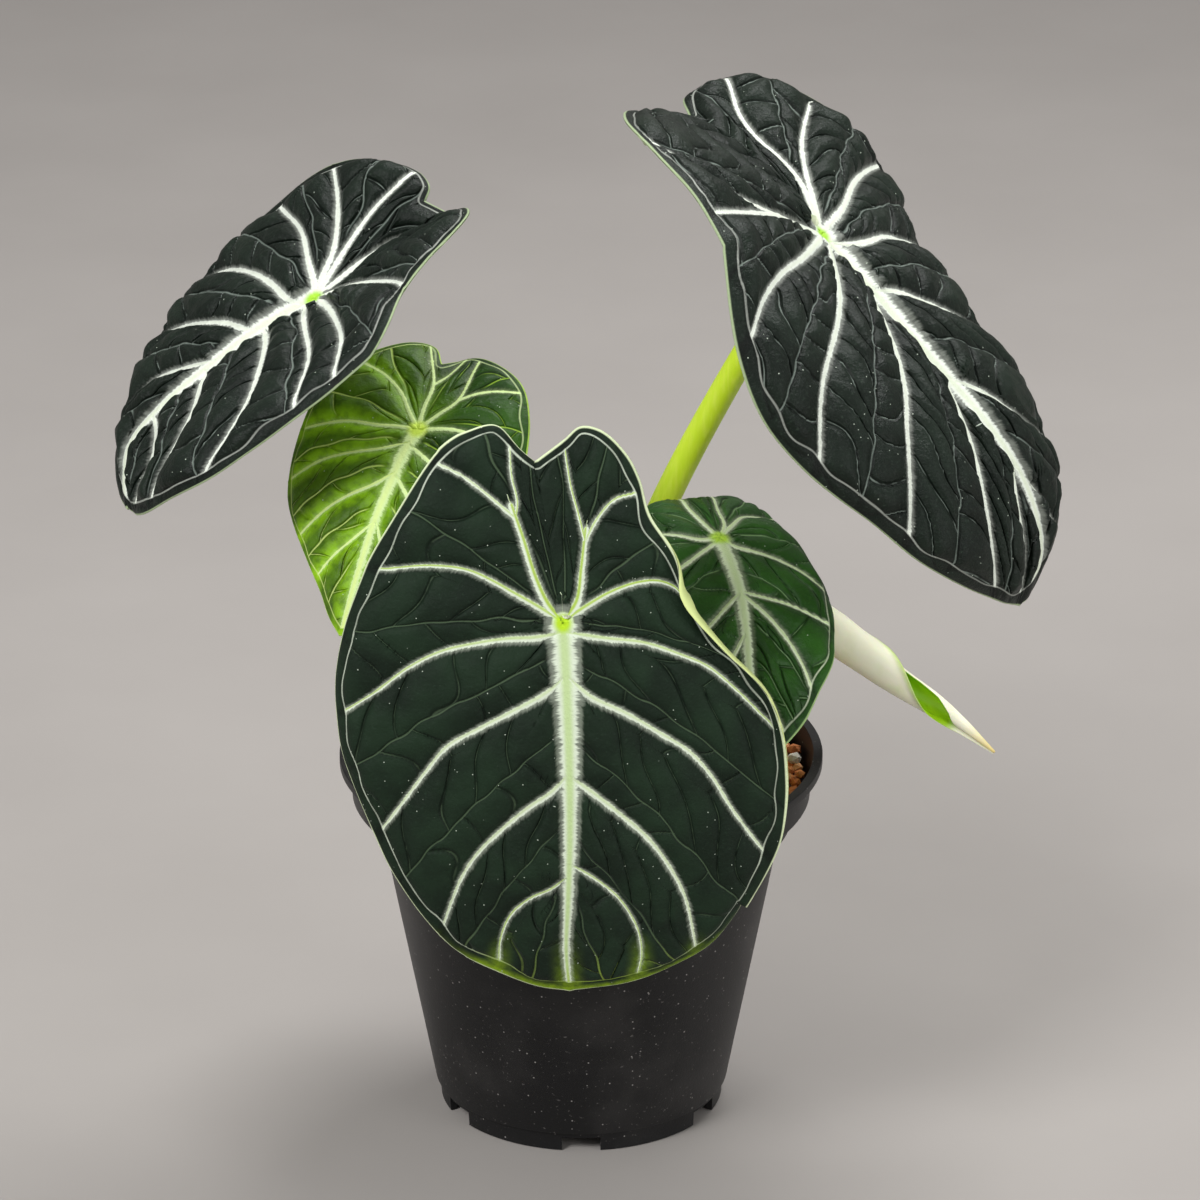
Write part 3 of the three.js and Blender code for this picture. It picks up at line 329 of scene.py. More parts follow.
rightPaint = {
    "midrib": {
        "line": [[0, 0], [0.1, 14.3], [0.2, 26], [-0.4, 42.3], [0, 60.2], [1.6, 76], [3, 92.7],
                 [2.4, 105.5], [0, 118], [-8, 128], [-14, 134]],
        "wide": [6.4, 2.2],
        "green": [0.6, 0.4],
        "taper": 1,
    },
    "veins": [
        ([2.4, 0.6], [0.3, 0], [[0, 0], [-8, 2.6], [-17.5, 5], [-34.8, 9.1], [-54.2, 12.5], [-69.9, 18],
         [-79.1, 24.1], [-83, 26.5]]),
        ([2.4, 0.6], [0.3, 0], [[-0.5, 3.5], [-6, 7], [-13.3, 12.5], [-25.6, 22.6], [-38.1, 31], [-50, 38],
         [-59.6, 44.5], [-67.5, 53], [-74.9, 64.7]]),
        ([2.2, 0.6], [0.3, 0], [[0, 20], [-5, 28], [-10.5, 35.5], [-19, 47], [-27.4, 56.9], [-37, 66.8],
         [-44.2, 76.6], [-51, 87.6], [-56, 97.2]]),
        ([2, 0.6], [0.3, 0], [[0, 54], [-3.5, 61], [-7.2, 68.7], [-12.6, 79.2], [-18.6, 90], [-23.1, 100.7],
         [-26.1, 111.8], [-28.1, 124.4]]),
        ([2.3, 0.6], [0.3, 0], [[0, 0], [-13, -2], [-26, -6], [-36, -9.5], [-46, -14.8], [-51.5, -21.5],
         [-58, -30], [-63, -40]]),
        ([1.5, 0.6], [0.2, 0], [[-26, -6.5], [-38.4, -7.4], [-52.8, -8.4], [-69.7, -9.5]]),
        ([2.4, 0.6], [0.3, 0], [[0, 0], [6.4, -9.2], [12, -19.6], [13.6, -29], [14, -38.2], [18.3, -48.3],
         [28.8, -59.5]]),
        ([2.1, 0.6], [0.3, 0], [[0, 0], [9.8, -11.2], [16.8, -19.8], [27, -29.5], [37.8, -36.2],
         [46.9, -40.8]]),
        ([2.2, 0.7], [0.3, 0], [[0, 0], [10.3, -2.9], [21.3, -6.2], [37.9, -13.2], [53.9, -17.3],
         [69.5, -20.1]]),
        ([2.1, 0.6], [0.3, 0], [[0, 3], [7.1, 6], [17.9, 7.3], [32.4, 6.9], [43.4, 8.9], [60, 11]]),
        ([2.1, 0.6], [0.3, 0], [[0.2, 23], [11.8, 26.5], [20.7, 31.9], [32.4, 38.3], [48, 46]]),
        ([1.9, 0.6], [0.3, 0], [[0, 58.5], [9.6, 64.3], [16.5, 70.2], [24, 77.2], [36, 86]]),
        ([1.3, 0.5], [0.3, 0], [[2.6, 92], [9, 101], [14, 112]]),
        ([1.2, 0.4], [0.3, 0], [[2.6, 88], [-5, 100], [-10, 116], [-15, 131]]),
    ],
    "inset": 4.4,
    "rim": 0.8,
}

smallRightPaint = {
    "midrib": {
        "line": [[0, 0], [1, 11.4], [1.6, 24], [0.6, 39.8], [-0.6, 55], [0, 80]],
        "wide": [3.4, 0.9],
        "green": [0.6, 0.6],
        "taper": 0.9,
    },
    "veins": [
        ([1.5, 0.5], [0.4, 0.4], [[0, 0], [-2.9, -6.3], [-5.6, -17.8], [-5.6, -32.6]]),
        ([1.5, 0.5], [0.4, 0.4], [[0, 0], [-6.3, 0.4], [-13, -2.6], [-22, -5.5], [-29, -7]]),
        ([1.4, 0.5], [0.4, 0.4], [[0, 1], [-6.4, 6], [-15.7, 13], [-29, 20]]),
        ([1.2, 0.4], [0.4, 0.4], [[0, 0], [3, -7], [2.9, -16.4], [4.1, -29]]),
        ([1.3, 0.5], [0.4, 0.4], [[0, 0], [6.2, -8.4], [10.6, -14.7], [17.1, -19]]),
        ([1.6, 0.5], [0.4, 0.4], [[0, 0], [4.2, 3.6], [14.6, 6.1], [24.7, 11.1], [30.2, 17.3]]),
        ([1.1, 0.4], [0.4, 0.4], [[1.5, 23.5], [7.9, 25.6], [17, 28.6], [28, 35]]),
        ([1.4, 0.5], [0.4, 0.4], [[1.5, 24.5], [8, 32.8], [12.8, 42.1], [15.9, 51.3], [17.7, 60]]),
        ([1.3, 0.5], [0.4, 0.4], [[1.5, 24.5], [-3.1, 29.1], [-10.6, 36.7], [-20, 45]]),
        ([1.1, 0.4], [0.4, 0.4], [[0.4, 40], [-5, 48], [-12, 57]]),
        ([0.9, 0.4], [0.4, 0.4], [[-0.3, 56], [4, 63], [7, 73]]),
    ],
    "inset": 2.6,
    "rim": 0.6,
}

# How finely every blade is meshed, and what all blades have in common, in millimetres.
bladeMesh = {
    "stepsPerPanel": 30,
    "innerRows": 80,
    "marginRows": [6.2, 5.4, 4.8, 4.2, 3.6, 3, 2.4, 1.9, 1.45, 1.05, 0.7, 0.4, 0.18, 0],
    "marginSteps": 400,
    "underEvery": 3,
    "weldsPerMm": 500,
    "halfThickness": 0.5,
    "edgeRound": 0.9,
    "edgeFade": 3,
    "midribDepth": [2.0, 0.5],
    "midribWidth": 2.6,
    "midribFrom": -6,
    "veinDepth": 1.1,
    "veinNarrow": 0.8,
    "puffSpread": 6,
    "puffEdge": 9,
    "archSpan": 60,
    "veinEnd": 4,
    "veinHalo": 1.7,
    "sideTaper": 0.6,
    "veinStride": 200,
}

# The small cushions between the veins. Each pair of waves is their length in millimetres and their seed.
quilt = {
    "slant": 0.75,
    "cellWaves": (21, 3),
    "panelShift": 0.37,
    "sideShift": 0.21,
    "halfShift": 0.5,
    "middleSway": 1.1,
    "middleWaves": (13, 8),
    "middleFrom": 14,
    "lobeInset": 1.5,
    "lobeFrom": 12,
    "lobeSpan": 35,
    "insetSway": 1.1,
    "insetWaves": (19, 21),
    "fullWidth": 10,
    "stripHeight": 0.35,
    "fineShare": 0.16,
    "fineWaves": (6, 11),
    "fineFrom": 2,
    "ridgeShare": 0.3,
    "ridgeWidest": 2.5,
    "edgeWaves": (22, 5),
    "edgeBand": 12,
    "underShare": 0.3,
}


def smoothStep(value):
    value = np.clip(value, 0, 1)
    return value * value * (3 - 2 * value)


# A smooth line through points, the same curve as the solids', sampled closely.
def curveThrough(points, perSpan=24):
    p = np.array(points, float)
    p = np.vstack([2 * p[0] - p[1], p, 2 * p[-1] - p[-2]])
    out = []
    for i in range(1, len(p) - 2):
        a, b, c, d = p[i - 1:i + 3]
        t1 = max(np.linalg.norm(b - a), 1e-9) ** 0.5
        t2 = t1 + max(np.linalg.norm(c - b), 1e-9) ** 0.5
        t3 = t2 + max(np.linalg.norm(d - c), 1e-9) ** 0.5
        t = np.linspace(t1, t2, perSpan, endpoint=False)[:, None]
        ab = (t1 - t) / t1 * a + t / t1 * b
        bc = (t2 - t) / (t2 - t1) * b + (t - t1) / (t2 - t1) * c
        cd = (t3 - t) / (t3 - t2) * c + (t - t2) / (t3 - t2) * d
        abc = (t2 - t) / t2 * ab + t / t2 * bc
        bcd = (t3 - t) / (t3 - t1) * bc + (t - t1) / (t3 - t1) * cd
        out.append((t2 - t) / (t2 - t1) * abc + (t - t1) / (t2 - t1) * bcd)
    out.append(p[-2][None])
    return np.vstack(out)


def lengthsAlong(points):
    return np.concatenate([[0], np.cumsum(np.linalg.norm(np.diff(points, axis=0), axis=1))])


# Points at shares of a line's length.
def pointsAt(line, shares):
    lengths = lengthsAlong(line)
    wanted = np.clip(shares, 0, 1) * lengths[-1]
    return np.stack([np.interp(wanted, lengths, line[:, k]) for k in range(line.shape[1])], -1)


def bendTable(length, degrees, power):
    places = np.linspace(0, 1.6 * length, 200)
    turn = np.radians(degrees) * (places / length) ** power
    middle = (turn[1:] + turn[:-1]) / 2
    step = places[1]
    along = np.concatenate([[0], np.cumsum(np.cos(middle)) * step])
    drop = np.concatenate([[0], np.cumsum(np.sin(middle)) * step])
    return places, turn, along, drop


def leafAxes(leaf):
    a, d, r = np.radians([leaf["aim"]["azimuth"], leaf["aim"]["droop"], leaf["aim"]["roll"]])
    toTip = np.array([math.sin(a) * math.cos(d), -math.cos(a) * math.cos(d), -math.sin(d)])
    level = np.array([math.sin(a) * math.sin(d), -math.cos(a) * math.sin(d), math.cos(d)])
    face = level * math.cos(r) + np.cross(level, toTip) * math.sin(r)
    return toTip, face, np.cross(face, toTip)


def alongBlade(values, leaf, y):
    atLobes, atStalk, atTip = values
    toTip = atStalk + (atTip - atStalk) * np.clip(y / leaf["length"], 0, 1.5)
    toLobes = atStalk + (atLobes - atStalk) * np.clip(-y / leaf["baseLength"], 0, 1.5)
    return np.where(y > 0, toTip, toLobes)


# Where places of the flat drawing lie on the bent blade, in millimetres.
def bladePoint(leaf, x, y):
    x = x + leaf["sway"] * (np.maximum(y, 0) / leaf["length"]) ** 2
    tipWay = bendTable(leaf["length"], leaf["bendTip"]["degrees"], leaf["bendTip"]["power"])
    baseWay = bendTable(leaf["baseLength"], leaf["bendBase"], 1)
    toTip, toBase = np.maximum(y, 0), np.maximum(-y, 0)
    up = y >= 0
    turn = np.where(up, np.interp(toTip, tipWay[0], tipWay[1]), -np.interp(toBase, baseWay[0], baseWay[1]))
    along = np.where(up, np.interp(toTip, tipWay[0], tipWay[2]), -np.interp(toBase, baseWay[0], baseWay[2]))
    drop = np.where(up, np.interp(toTip, tipWay[0], tipWay[3]), np.interp(toBase, baseWay[0], baseWay[3]))
    onRight = x >= 0
    right, left = leaf["right"], leaf["left"]
    tilt = np.where(onRight, alongBlade(right["tilt"], leaf, y), alongBlade(left["tilt"], leaf, y))
    arch = np.where(onRight, alongBlade(right["arch"], leaf, y), alongBlade(left["arch"], leaf, y))
    tilt = np.radians(tilt)
    arch = np.radians(arch) / bladeMesh["archSpan"] + 1e-7
    out = np.abs(x)
    reach = np.where(onRight, 1, -1) * (np.sin(tilt) - np.sin(tilt - arch * out)) / arch
    rise = (np.cos(tilt - arch * out) - np.cos(tilt)) / arch
    axis, face, across = leafAxes(leaf)
    faceHere = np.outer(np.sin(turn), axis) + np.outer(np.cos(turn), face)
    twist = np.radians(leaf["twist"]) * np.maximum(y / leaf["length"], 0)
    cos, sin = np.cos(twist)[:, None], np.sin(twist)[:, None]
    acrossHere = across * cos + faceHere * sin
    faceHere = faceHere * cos - across * sin
    place = np.array(leaf["petioleJoin"], float) + np.outer(along, axis) - np.outer(drop, face)
    return place + acrossHere * reach[:, None] + faceHere * rise[:, None]


def bladeNormal(leaf, x, y):
    alongX = bladePoint(leaf, x + 0.5, y) - bladePoint(leaf, x - 0.5, y)
    alongY = bladePoint(leaf, x, y + 0.5) - bladePoint(leaf, x, y - 0.5)
    normal = np.cross(alongY, alongX)
    return normal / np.linalg.norm(normal, axis=1, keepdims=True)


# One half's lines from the midrib to the margin, as arrays with a row for each.
def sideSpokes(leaf, side, steps):
    sign = 1 if side == "right" else -1
    half = leaf[side]
    ends = [leaf["cleft"], *[[sign * out, y] for out, y in half["outline"]], leaf["tip"]]
    margin = curveThrough(ends, 40)
    count = bladeMesh["marginSteps"]
    marks = pointsAt(margin, np.linspace(0, 1, count + 1))
    lines = [(0, np.array(leaf["cleft"]) * 0.5, 0.0)]
    for start, viaOut, viaY, toOut, toY in half["veins"]:
        nearest = np.argmin(np.linalg.norm(marks - np.array([sign * toOut, toY]), axis=1))
        lines.append((start, np.array([sign * viaOut, viaY]), nearest / count))
    lines.append((half["veins"][-1][0], np.array(leaf["tipVia"], float), 1.0))
    starts, vias, shares, across, panels = [], [], [], [], []
    for panel in range(len(lines) - 1):
        a, b = lines[panel], lines[panel + 1]
        last = panel == len(lines) - 2
        for step in range(steps + (1 if last else 0)):
            part = step / steps
            starts.append([0, a[0] + (b[0] - a[0]) * part])
            vias.append(a[1] + (b[1] - a[1]) * part)
            shares.append(a[2] + (b[2] - a[2]) * part)
            across.append(part)
            panels.append(panel)
    return {
        "start": np.array(starts, float), "via": np.array(vias, float),
        "end": pointsAt(margin, np.array(shares)), "across": np.array(across),
        "panel": np.array(panels), "side": side, "margin": margin,
    }


def spokePoint(spokes, part):
    start, via, end = (spokes[key][:, None, :] for key in ("start", "via", "end"))
    part = part[..., None]
    toVia = start + (via - start) * part
    return toVia + (via + (end - via) * part - toVia) * part


# How far the margin rolls over at each spoke's end, and how wide a strip takes part.
def marginRoll(leaf, spokes):
    angle = np.degrees(np.arctan2(np.abs(spokes["end"][:, 0]), spokes["end"][:, 1]))
    turn, width = np.zeros(len(angle)), np.zeros(len(angle))
    for side, middle, halfWidth, degrees, strip in leaf["rolls"]:
        away = np.abs(angle - middle) / halfWidth
        mine = (away < 1) & (width == 0) & (side == spokes["side"])
        share = np.cos(np.minimum(away, 1) * np.pi / 2) ** 2
        turn = np.where(mine, np.radians(degrees) * share, turn)
        width = np.where(mine, strip * np.sqrt(share), width)
    return turn, width


# For each painted vein and each place: the distance over the vein's half width, with a minus sign towards
# the lobes, the place along the vein, the distance in millimetres, and how green the vein is there.
def veinFields(places, veins):
    fields = np.zeros((len(veins), 4, len(places)))
    rows = np.arange(len(places))
    for number, vein in enumerate(veins):
        line = curveThrough(vein["line"], 8)
        ahead = line[-1] - line[-2]
        line = np.vstack([line, line[-1] + ahead / np.linalg.norm(ahead) * bladeMesh["veinEnd"]])
        lengths = lengthsAlong(line)
        edge = line[1:] - line[:-1]
        size = np.maximum((edge ** 2).sum(1), 1e-9)
        toStart = places[:, None, :] - line[None, :-1]
        part = np.clip((toStart * edge).sum(2) / size, 0, 1)
        gap = np.linalg.norm(toStart - part[..., None] * edge, axis=2)
        place = (lengths[:-1] + part * (lengths[1:] - lengths[:-1])) / lengths[-1]
        wide = vein["wide"][0] + (vein["wide"][1] - vein["wide"][0]) * place ** vein["taper"]
        # Inside the vein the share of its half width, outside it one more for each width of the halo.
        ratio = np.where(gap < wide, gap / wide, 1 + (gap - wide) / bladeMesh["veinHalo"])
        k = ratio.argmin(1)
        turn = edge[k, 0] * toStart[rows, k, 1] - edge[k, 1] * toStart[rows, k, 0]
        turn = np.where(turn >= 0, 1, -1) * (1 if line[-1, 0] >= line[0, 0] - 1 else -1)
        ratio, place, gap = ratio[rows, k], place[rows, k], gap[rows, k]
        green = vein["green"][0] + (vein["green"][1] - vein["green"][0]) * place
        along = place * lengths[-1] + bladeMesh["veinStride"] * number
        fields[number] = turn * ratio, along, gap, green
    return fields


def distanceToLine(places, line):
    edge = line[1:] - line[:-1]
    size = np.maximum((edge ** 2).sum(1), 1e-9)
    nearest = np.full(len(places), 1e9)
    for k in range(len(edge)):
        part = np.clip(((places - line[k]) @ edge[k]) / size[k], 0, 1)
        gap = np.linalg.norm(places - line[k] - part[:, None] * edge[k], axis=1)
        nearest = np.minimum(nearest, gap)
    return nearest


# Soft irregular waves over the flat drawing, the same on each run.
def waves(x, y, size, seed):
    pick = random.Random(seed)
    total = np.zeros(len(x))
    for octave in range(5):
        angle = pick.uniform(0, math.pi)
        stretch = size * pick.uniform(0.7, 1.5)
        turn = (x * math.cos(angle) + y * math.sin(angle)) * 2 * math.pi / stretch
        total += np.sin(turn + pick.uniform(0, 6.28))
    return total / 5


def vertexNormals(points, triangles):
    a, b, c = (points[triangles[:, k]] for k in range(3))
    flat = np.cross(b - a, c - a)
    normals = np.zeros_like(points)
    for k in range(3):
        for axis in range(3):
            normals[:, axis] += np.bincount(triangles[:, k], flat[:, axis], len(points))
    return normals / np.maximum(np.linalg.norm(normals, axis=1, keepdims=True), 1e-12)


def meshObject(name, points, faces, smooth=True):
    mesh = bpy.data.meshes.new(name)
    mesh.from_pydata([tuple(p) for p in points], [], [tuple(f) for f in faces])
    mesh.update()
    mesh.polygons.foreach_set("use_smooth", [smooth] * len(mesh.polygons))
    piece = bpy.data.objects.new(name, mesh)
    bpy.context.scene.collection.objects.link(piece)
    return piece


def addAttribute(piece, name, values):
    attribute = piece.data.attributes.new(name, "FLOAT", "POINT")
    attribute.data.foreach_set("value", np.asarray(values, np.float32))


# Which cushion of the quilting a place lies in: whole numbers are the cross veins between two cushions,
# which leave a big vein at a slant and meet the fine vein in the middle of the panel.
def cellPhase(look, x, y, across, along, panel, side):
    inward = 1 - np.abs(2 * across - 1)
    phase = along / look["cellLength"] - quilt["slant"] * inward
    phase = phase + look["cellNoise"] * waves(x, y, *quilt["cellWaves"])
    phase = phase + quilt["panelShift"] * panel + quilt["sideShift"] * side
    return phase + np.where(across > 0.5, quilt["halfShift"], 0)


# How far a place lies from the wavering fine vein in the middle of its panel, to either side.
def fromMiddle(x, y, across, width):
    sway = quilt["middleSway"] * waves(x, y, *quilt["middleWaves"])
    return (across - 0.5) * width + sway * smoothStep(width / quilt["middleFrom"])


# One half of a blade as a grid of places: flat, on the bent sheet with its rolled margin, and where each
# lies in its panel (share across, way along, panel, width and side).
def sideGrid(leaf, side, steps, inner):
    spokes = sideSpokes(leaf, side, steps)
    length = np.linalg.norm(spokes["end"] - spokes["start"], axis=1)
    band = bladeMesh["marginRows"][0] / length
    rows = [(1 - band) * k / inner for k in range(inner)]
    rows += [1 - d / length for d in bladeMesh["marginRows"]]
    parts = np.stack(rows, 1)
    flat = spokePoint(spokes, parts)
    toMargin = (1 - parts) * length[:, None]
    turn, width = marginRoll(leaf, spokes)
    hingePart = np.clip(1 - width / length, 0, 1)[:, None]
    hinge = spokePoint(spokes, hingePart)[:, 0]
    outward = spokes["end"] - hinge
    outward /= np.maximum(np.linalg.norm(outward, axis=1, keepdims=True), 1e-9)
    base = bladePoint(leaf, hinge[:, 0], hinge[:, 1])
    normal = bladeNormal(leaf, hinge[:, 0], hinge[:, 1])
    direction = bladePoint(leaf, hinge[:, 0] + outward[:, 0], hinge[:, 1] + outward[:, 1]) - base
    direction /= np.maximum(np.linalg.norm(direction, axis=1, keepdims=True), 1e-9)
    plain = bladePoint(leaf, flat[..., 0].ravel(), flat[..., 1].ravel()).reshape(*flat.shape[:2], 3)
    turns = np.abs(turn) > 0.01
    rolls = (toMargin < width[:, None]) & turns[:, None]
    curl = np.where(turns, turn / np.maximum(width, 1e-6), 1e-3)[:, None]
    bend = curl * (width[:, None] - toMargin)
    rolled = base[:, None] + direction[:, None] * (np.sin(bend) / curl)[..., None]
    rolled = rolled + normal[:, None] * ((1 - np.cos(bend)) / curl)[..., None]
    mid = np.where(rolls[..., None], rolled, plain).reshape(-1, 3)
    across = np.broadcast_to(spokes["across"][:, None], parts.shape)
    panel = np.broadcast_to(spokes["panel"][:, None], parts.shape)
    first = spokes["panel"] * steps
    wide = np.linalg.norm(flat[np.minimum(first + steps, len(flat) - 1)] - flat[first], axis=2)
    info = [across.ravel(), (parts * length[:, None]).ravel(), panel.ravel(), wide.ravel()]
    info.append(np.full(parts.size, 0 if side == "right" else 1))
    return flat.reshape(-1, 2), mid, np.stack(info, 1), parts.shape, spokes["margin"]


# The triangles over both halves' grids, through the chosen rows.
def gridTriangles(grids, chosen):
    halves, start = [], 0
    for columns, rowCount in grids:
        index = np.arange(columns * rowCount).reshape(columns, rowCount)[:, chosen] + start
        a, b = index[:-1, :-1].ravel(), index[1:, :-1].ravel()
        c, d = index[1:, 1:].ravel(), index[:-1, 1:].ravel()
        both = np.vstack([np.stack([a, b, c], 1), np.stack([a, c, d], 1)])
        halves.append(both[:, ::-1] if start else both)
        start += columns * rowCount
    return np.vstack(halves)


def isWhole(triangles):
    a, b, c = triangles.T
    return (a != b) & (b != c) & (c != a)


# A closed blade: a finely quilted top, a coarser underside with ribs, and a rounded margin they share.
def makeLeaf(leaf, look, name, node):
    steps = bladeMesh["stepsPerPanel"] // 1
    inner = bladeMesh["innerRows"] // 1
    halves = [sideGrid(leaf, side, steps, inner) for side in ("right", "left")]
    flats, mids, infos, grids, margins = zip(*halves)
    allFlat, allInfo = np.vstack(flats), np.vstack(infos)
    # Corners of the grids that lie on the same place become one point.
    keys = np.round(allFlat * bladeMesh["weldsPerMm"]).astype(int)
    _, first, place = np.unique(keys, axis=0, return_index=True, return_inverse=True)
    place = place.ravel()
    flat, mid, data = allFlat[first], np.vstack(mids)[first], allInfo[first]
    rowCount = grids[0][1]
    corners = gridTriangles(grids, np.arange(rowCount))
    corners = corners[isWhole(place[corners])]
    triangles = place[corners]
    normals = vertexNormals(mid, triangles)
    _, face, _ = leafAxes(leaf)
    x, y = flat[:, 0], flat[:, 1]
    if normals[np.argmin(np.hypot(x - 8, y - 8))] @ face < 0:
        triangles, corners, normals = triangles[:, ::-1], corners[:, ::-1], -normals

    veins = [look["midrib"]]
    for wide, green, line in look["veins"]:
        slim = [w * look["slim"] for w in wide]
        veins.append({"line": line, "wide": slim, "green": green, "taper": bladeMesh["sideTaper"]})
    fields = veinFields(flat, veins)
    ratio = np.abs(fields[:, 0]).min(0)
    away = fields[np.abs(fields[:, 0]).argmin(0), 2, np.arange(len(flat))]
    margin = np.minimum(distanceToLine(flat, margins[0][::4]), distanceToLine(flat, margins[1][::4]))
    atEdge = smoothStep(margin / bladeMesh["edgeFade"])
    across, along, panel, width, side = data.T
    phase = cellPhase(look, x, y, across, along, panel, side)
    middle = fromMiddle(x, y, across, width)
    toCross = np.abs((phase + 0.5) % 1 - 0.5) * look["cellLength"]
    toVein = np.maximum(away - away / np.maximum(ratio, 0.05), 0)
    inset = look["inset"] - quilt["lobeInset"] * smoothStep(-(y + quilt["lobeFrom"]) / quilt["lobeSpan"])
    inset = inset + quilt["insetSway"] * waves(x, y, *quilt["insetWaves"])
    toCollective = margin - inset

    nearest = np.minimum(np.minimum(toCross, np.abs(middle)), np.minimum(toVein, np.abs(toCollective)))
    cushion = 1 - np.exp(-nearest / look["crease"])
    height = look["cellHeight"] * smoothStep(width / quilt["fullWidth"])
    height = height * np.where(toCollective > 0, 1, quilt["stripHeight"])
    relief = height * cushion * atEdge
    fine = quilt["fineShare"] * look["cellHeight"] * waves(x, y, *quilt["fineWaves"])
    relief += fine * smoothStep(toVein / quilt["fineFrom"]) * atEdge
    wide = away / np.maximum(ratio, 1e-6)
    ridge = quilt["ridgeShare"] * np.minimum(wide, quilt["ridgeWidest"]) * np.maximum(0, 1 - ratio ** 2)
    relief += ridge * look["ridge"]
    puff = leaf["puff"] * (1 - np.exp(-(away / bladeMesh["puffSpread"]) ** 2))
    puff = puff * smoothStep(margin / bladeMesh["puffEdge"])
    wave = look["marginWave"] * waves(x, y, *quilt["edgeWaves"])
    wave = wave * smoothStep((quilt["edgeBand"] - margin) / quilt["edgeBand"])
    mid = mid + normals * (puff + wave)[:, None]
    normals = vertexNormals(mid, triangles)
    rounding = np.sqrt(np.clip(1 - (1 - np.clip(margin / bladeMesh["edgeRound"], 0, 1)) ** 2, 0, 1))
    half = bladeMesh["halfThickness"] * rounding
    rim = margin < 1e-3
    top = mid + normals * (half + relief * (~rim))[:, None]
    atStalk, atTip = bladeMesh["midribDepth"]
    onMidrib = np.exp(-(np.abs(x) / bladeMesh["midribWidth"]) ** 2) * (y > bladeMesh["midribFrom"])
    ribs = onMidrib * (atStalk + (atTip - atStalk) * np.clip(y / leaf["length"], 0, 1))
    ribs = np.maximum(ribs, bladeMesh["veinDepth"] * np.exp(-(ratio * bladeMesh["veinNarrow"]) ** 2))
    lowered = half + ribs * atEdge - quilt["underShare"] * relief * (~rim)
    bottom = mid - normals * lowered[:, None]

    # The underside has fewer rows: every third inner one and every second one near the margin.
    chosen = list(range(0, inner, bladeMesh["underEvery"])) + list(range(inner, rowCount, 2))
    if chosen[-1] != rowCount - 1:
        chosen.append(rowCount - 1)
    under = place[gridTriangles(grids, chosen)]
    under = under[isWhole(under)]
    a, b, c = under[len(under) // 3]
    if np.cross(mid[b] - mid[a], mid[c] - mid[a]) @ normals[a] > 0:
        under = under[:, ::-1]
    used, small = np.unique(under, return_inverse=True)
    small = small.reshape(under.shape)
    lower = np.array([v if rim[v] else len(mid) + k for k, v in enumerate(used)])
    points = np.vstack([top, bottom[used]]) * mm
    order, faces = np.unique(np.vstack([triangles, lower[small]]), return_inverse=True)
    faces = faces.reshape(-1, 3)
    piece = meshObject(name, points[order], faces)
    source = np.concatenate([np.arange(len(mid)), used])[order]
    for label, values in (("veinRatio", np.minimum(ratio, 6)), ("margin", margin),
                          ("collective", toCollective), ("cushion", cushion), ("flatX", x), ("flatY", y)):
        addAttribute(piece, label, values[source])

    # The UV map "net" holds the distance from the panel's middle and the cushion's phase.
    net = piece.data.uv_layers.new(name="net")
    uv = np.zeros((len(faces) * 3, 2), np.float32)
    hereX, hereY = allFlat[corners.ravel()].T
    across, along, panel, width, side = allInfo[corners.ravel()].T
    beyond = (allInfo[corners, 0].mean(1) > 0.5).repeat(3)
    phase = cellPhase(look, hereX, hereY, across, along, panel, side)
    uv[:len(across), 0] = fromMiddle(hereX, hereY, across, width)
    uv[:len(across), 1] = phase + np.where(beyond & (across <= 0.5), quilt["halfShift"], 0)
    net.data.foreach_set("uv", uv.ravel())
    # Each triangle keeps to one vein, so its edges stay crisp where two veins meet.
    mine = np.abs(fields[:, 0])[:, triangles].mean(2).argmin(0).repeat(3)
    spread = np.zeros((len(faces) * 3, 3), np.float32)
    spread[:len(mine)] = fields[mine, :, triangles.ravel()][:, [0, 1, 3]]
    spread[:len(mine), 0] = np.clip(spread[:len(mine), 0], -8, 8)
    vein = piece.data.attributes.new("vein", "FLOAT_VECTOR", "CORNER")
    vein.data.foreach_set("vector", spread.ravel())
    isUnder = np.arange(len(faces)) >= len(triangles)
    piece.data.polygons.foreach_set("material_index", isUnder.astype(np.int32))
    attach(piece, "root")
    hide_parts(node)
    print(name, "made:", len(points), "points", len(faces), "faces")
    return piece


# Small helpers for building materials out of nodes.
def newMaterial(name):
    material = bpy.data.materials.new(name)
    material.use_nodes = True
    tree = material.node_tree
    tree.nodes.clear()
    shader = tree.nodes.new("ShaderNodeBsdfPrincipled")
    output = tree.nodes.new("ShaderNodeOutputMaterial")
    tree.links.new(shader.outputs[0], output.inputs[0])
    return material, tree, shader


def hexColour(code):
    parts = [int(code[k:k + 2], 16) / 255 for k in (0, 2, 4)]
    return tuple(((p + 0.055) / 1.055) ** 2.4 if p > 0.04045 else p / 12.92 for p in parts)


# Links or sets an input. A text is a colour code.
def feed(tree, socket, value):
    if isinstance(value, str):
        value = hexColour(value)
    if isinstance(value, bpy.types.NodeSocket):
        tree.links.new(value, socket)
    elif isinstance(value, (tuple, list)):
        socket.default_value = (*value, 1) if len(value) == 3 and socket.type == "RGBA" else tuple(value)
    else:
        socket.default_value = value


def maths(tree, operation, a, b=0.0, c=0.0):
    node = tree.nodes.new("ShaderNodeMath")
    node.operation = operation
    for socket, value in zip(node.inputs, (a, b, c)):
        feed(tree, socket, value)
    return node.outputs[0]


def times(tree, a, b):
    return maths(tree, "MULTIPLY", a, b)


def plus(tree, a, b):
    return maths(tree, "ADD", a, b)


def minus(tree, a, b):
    return maths(tree, "SUBTRACT", a, b)


def largest(tree, a, b):
    return maths(tree, "MAXIMUM", a, b)


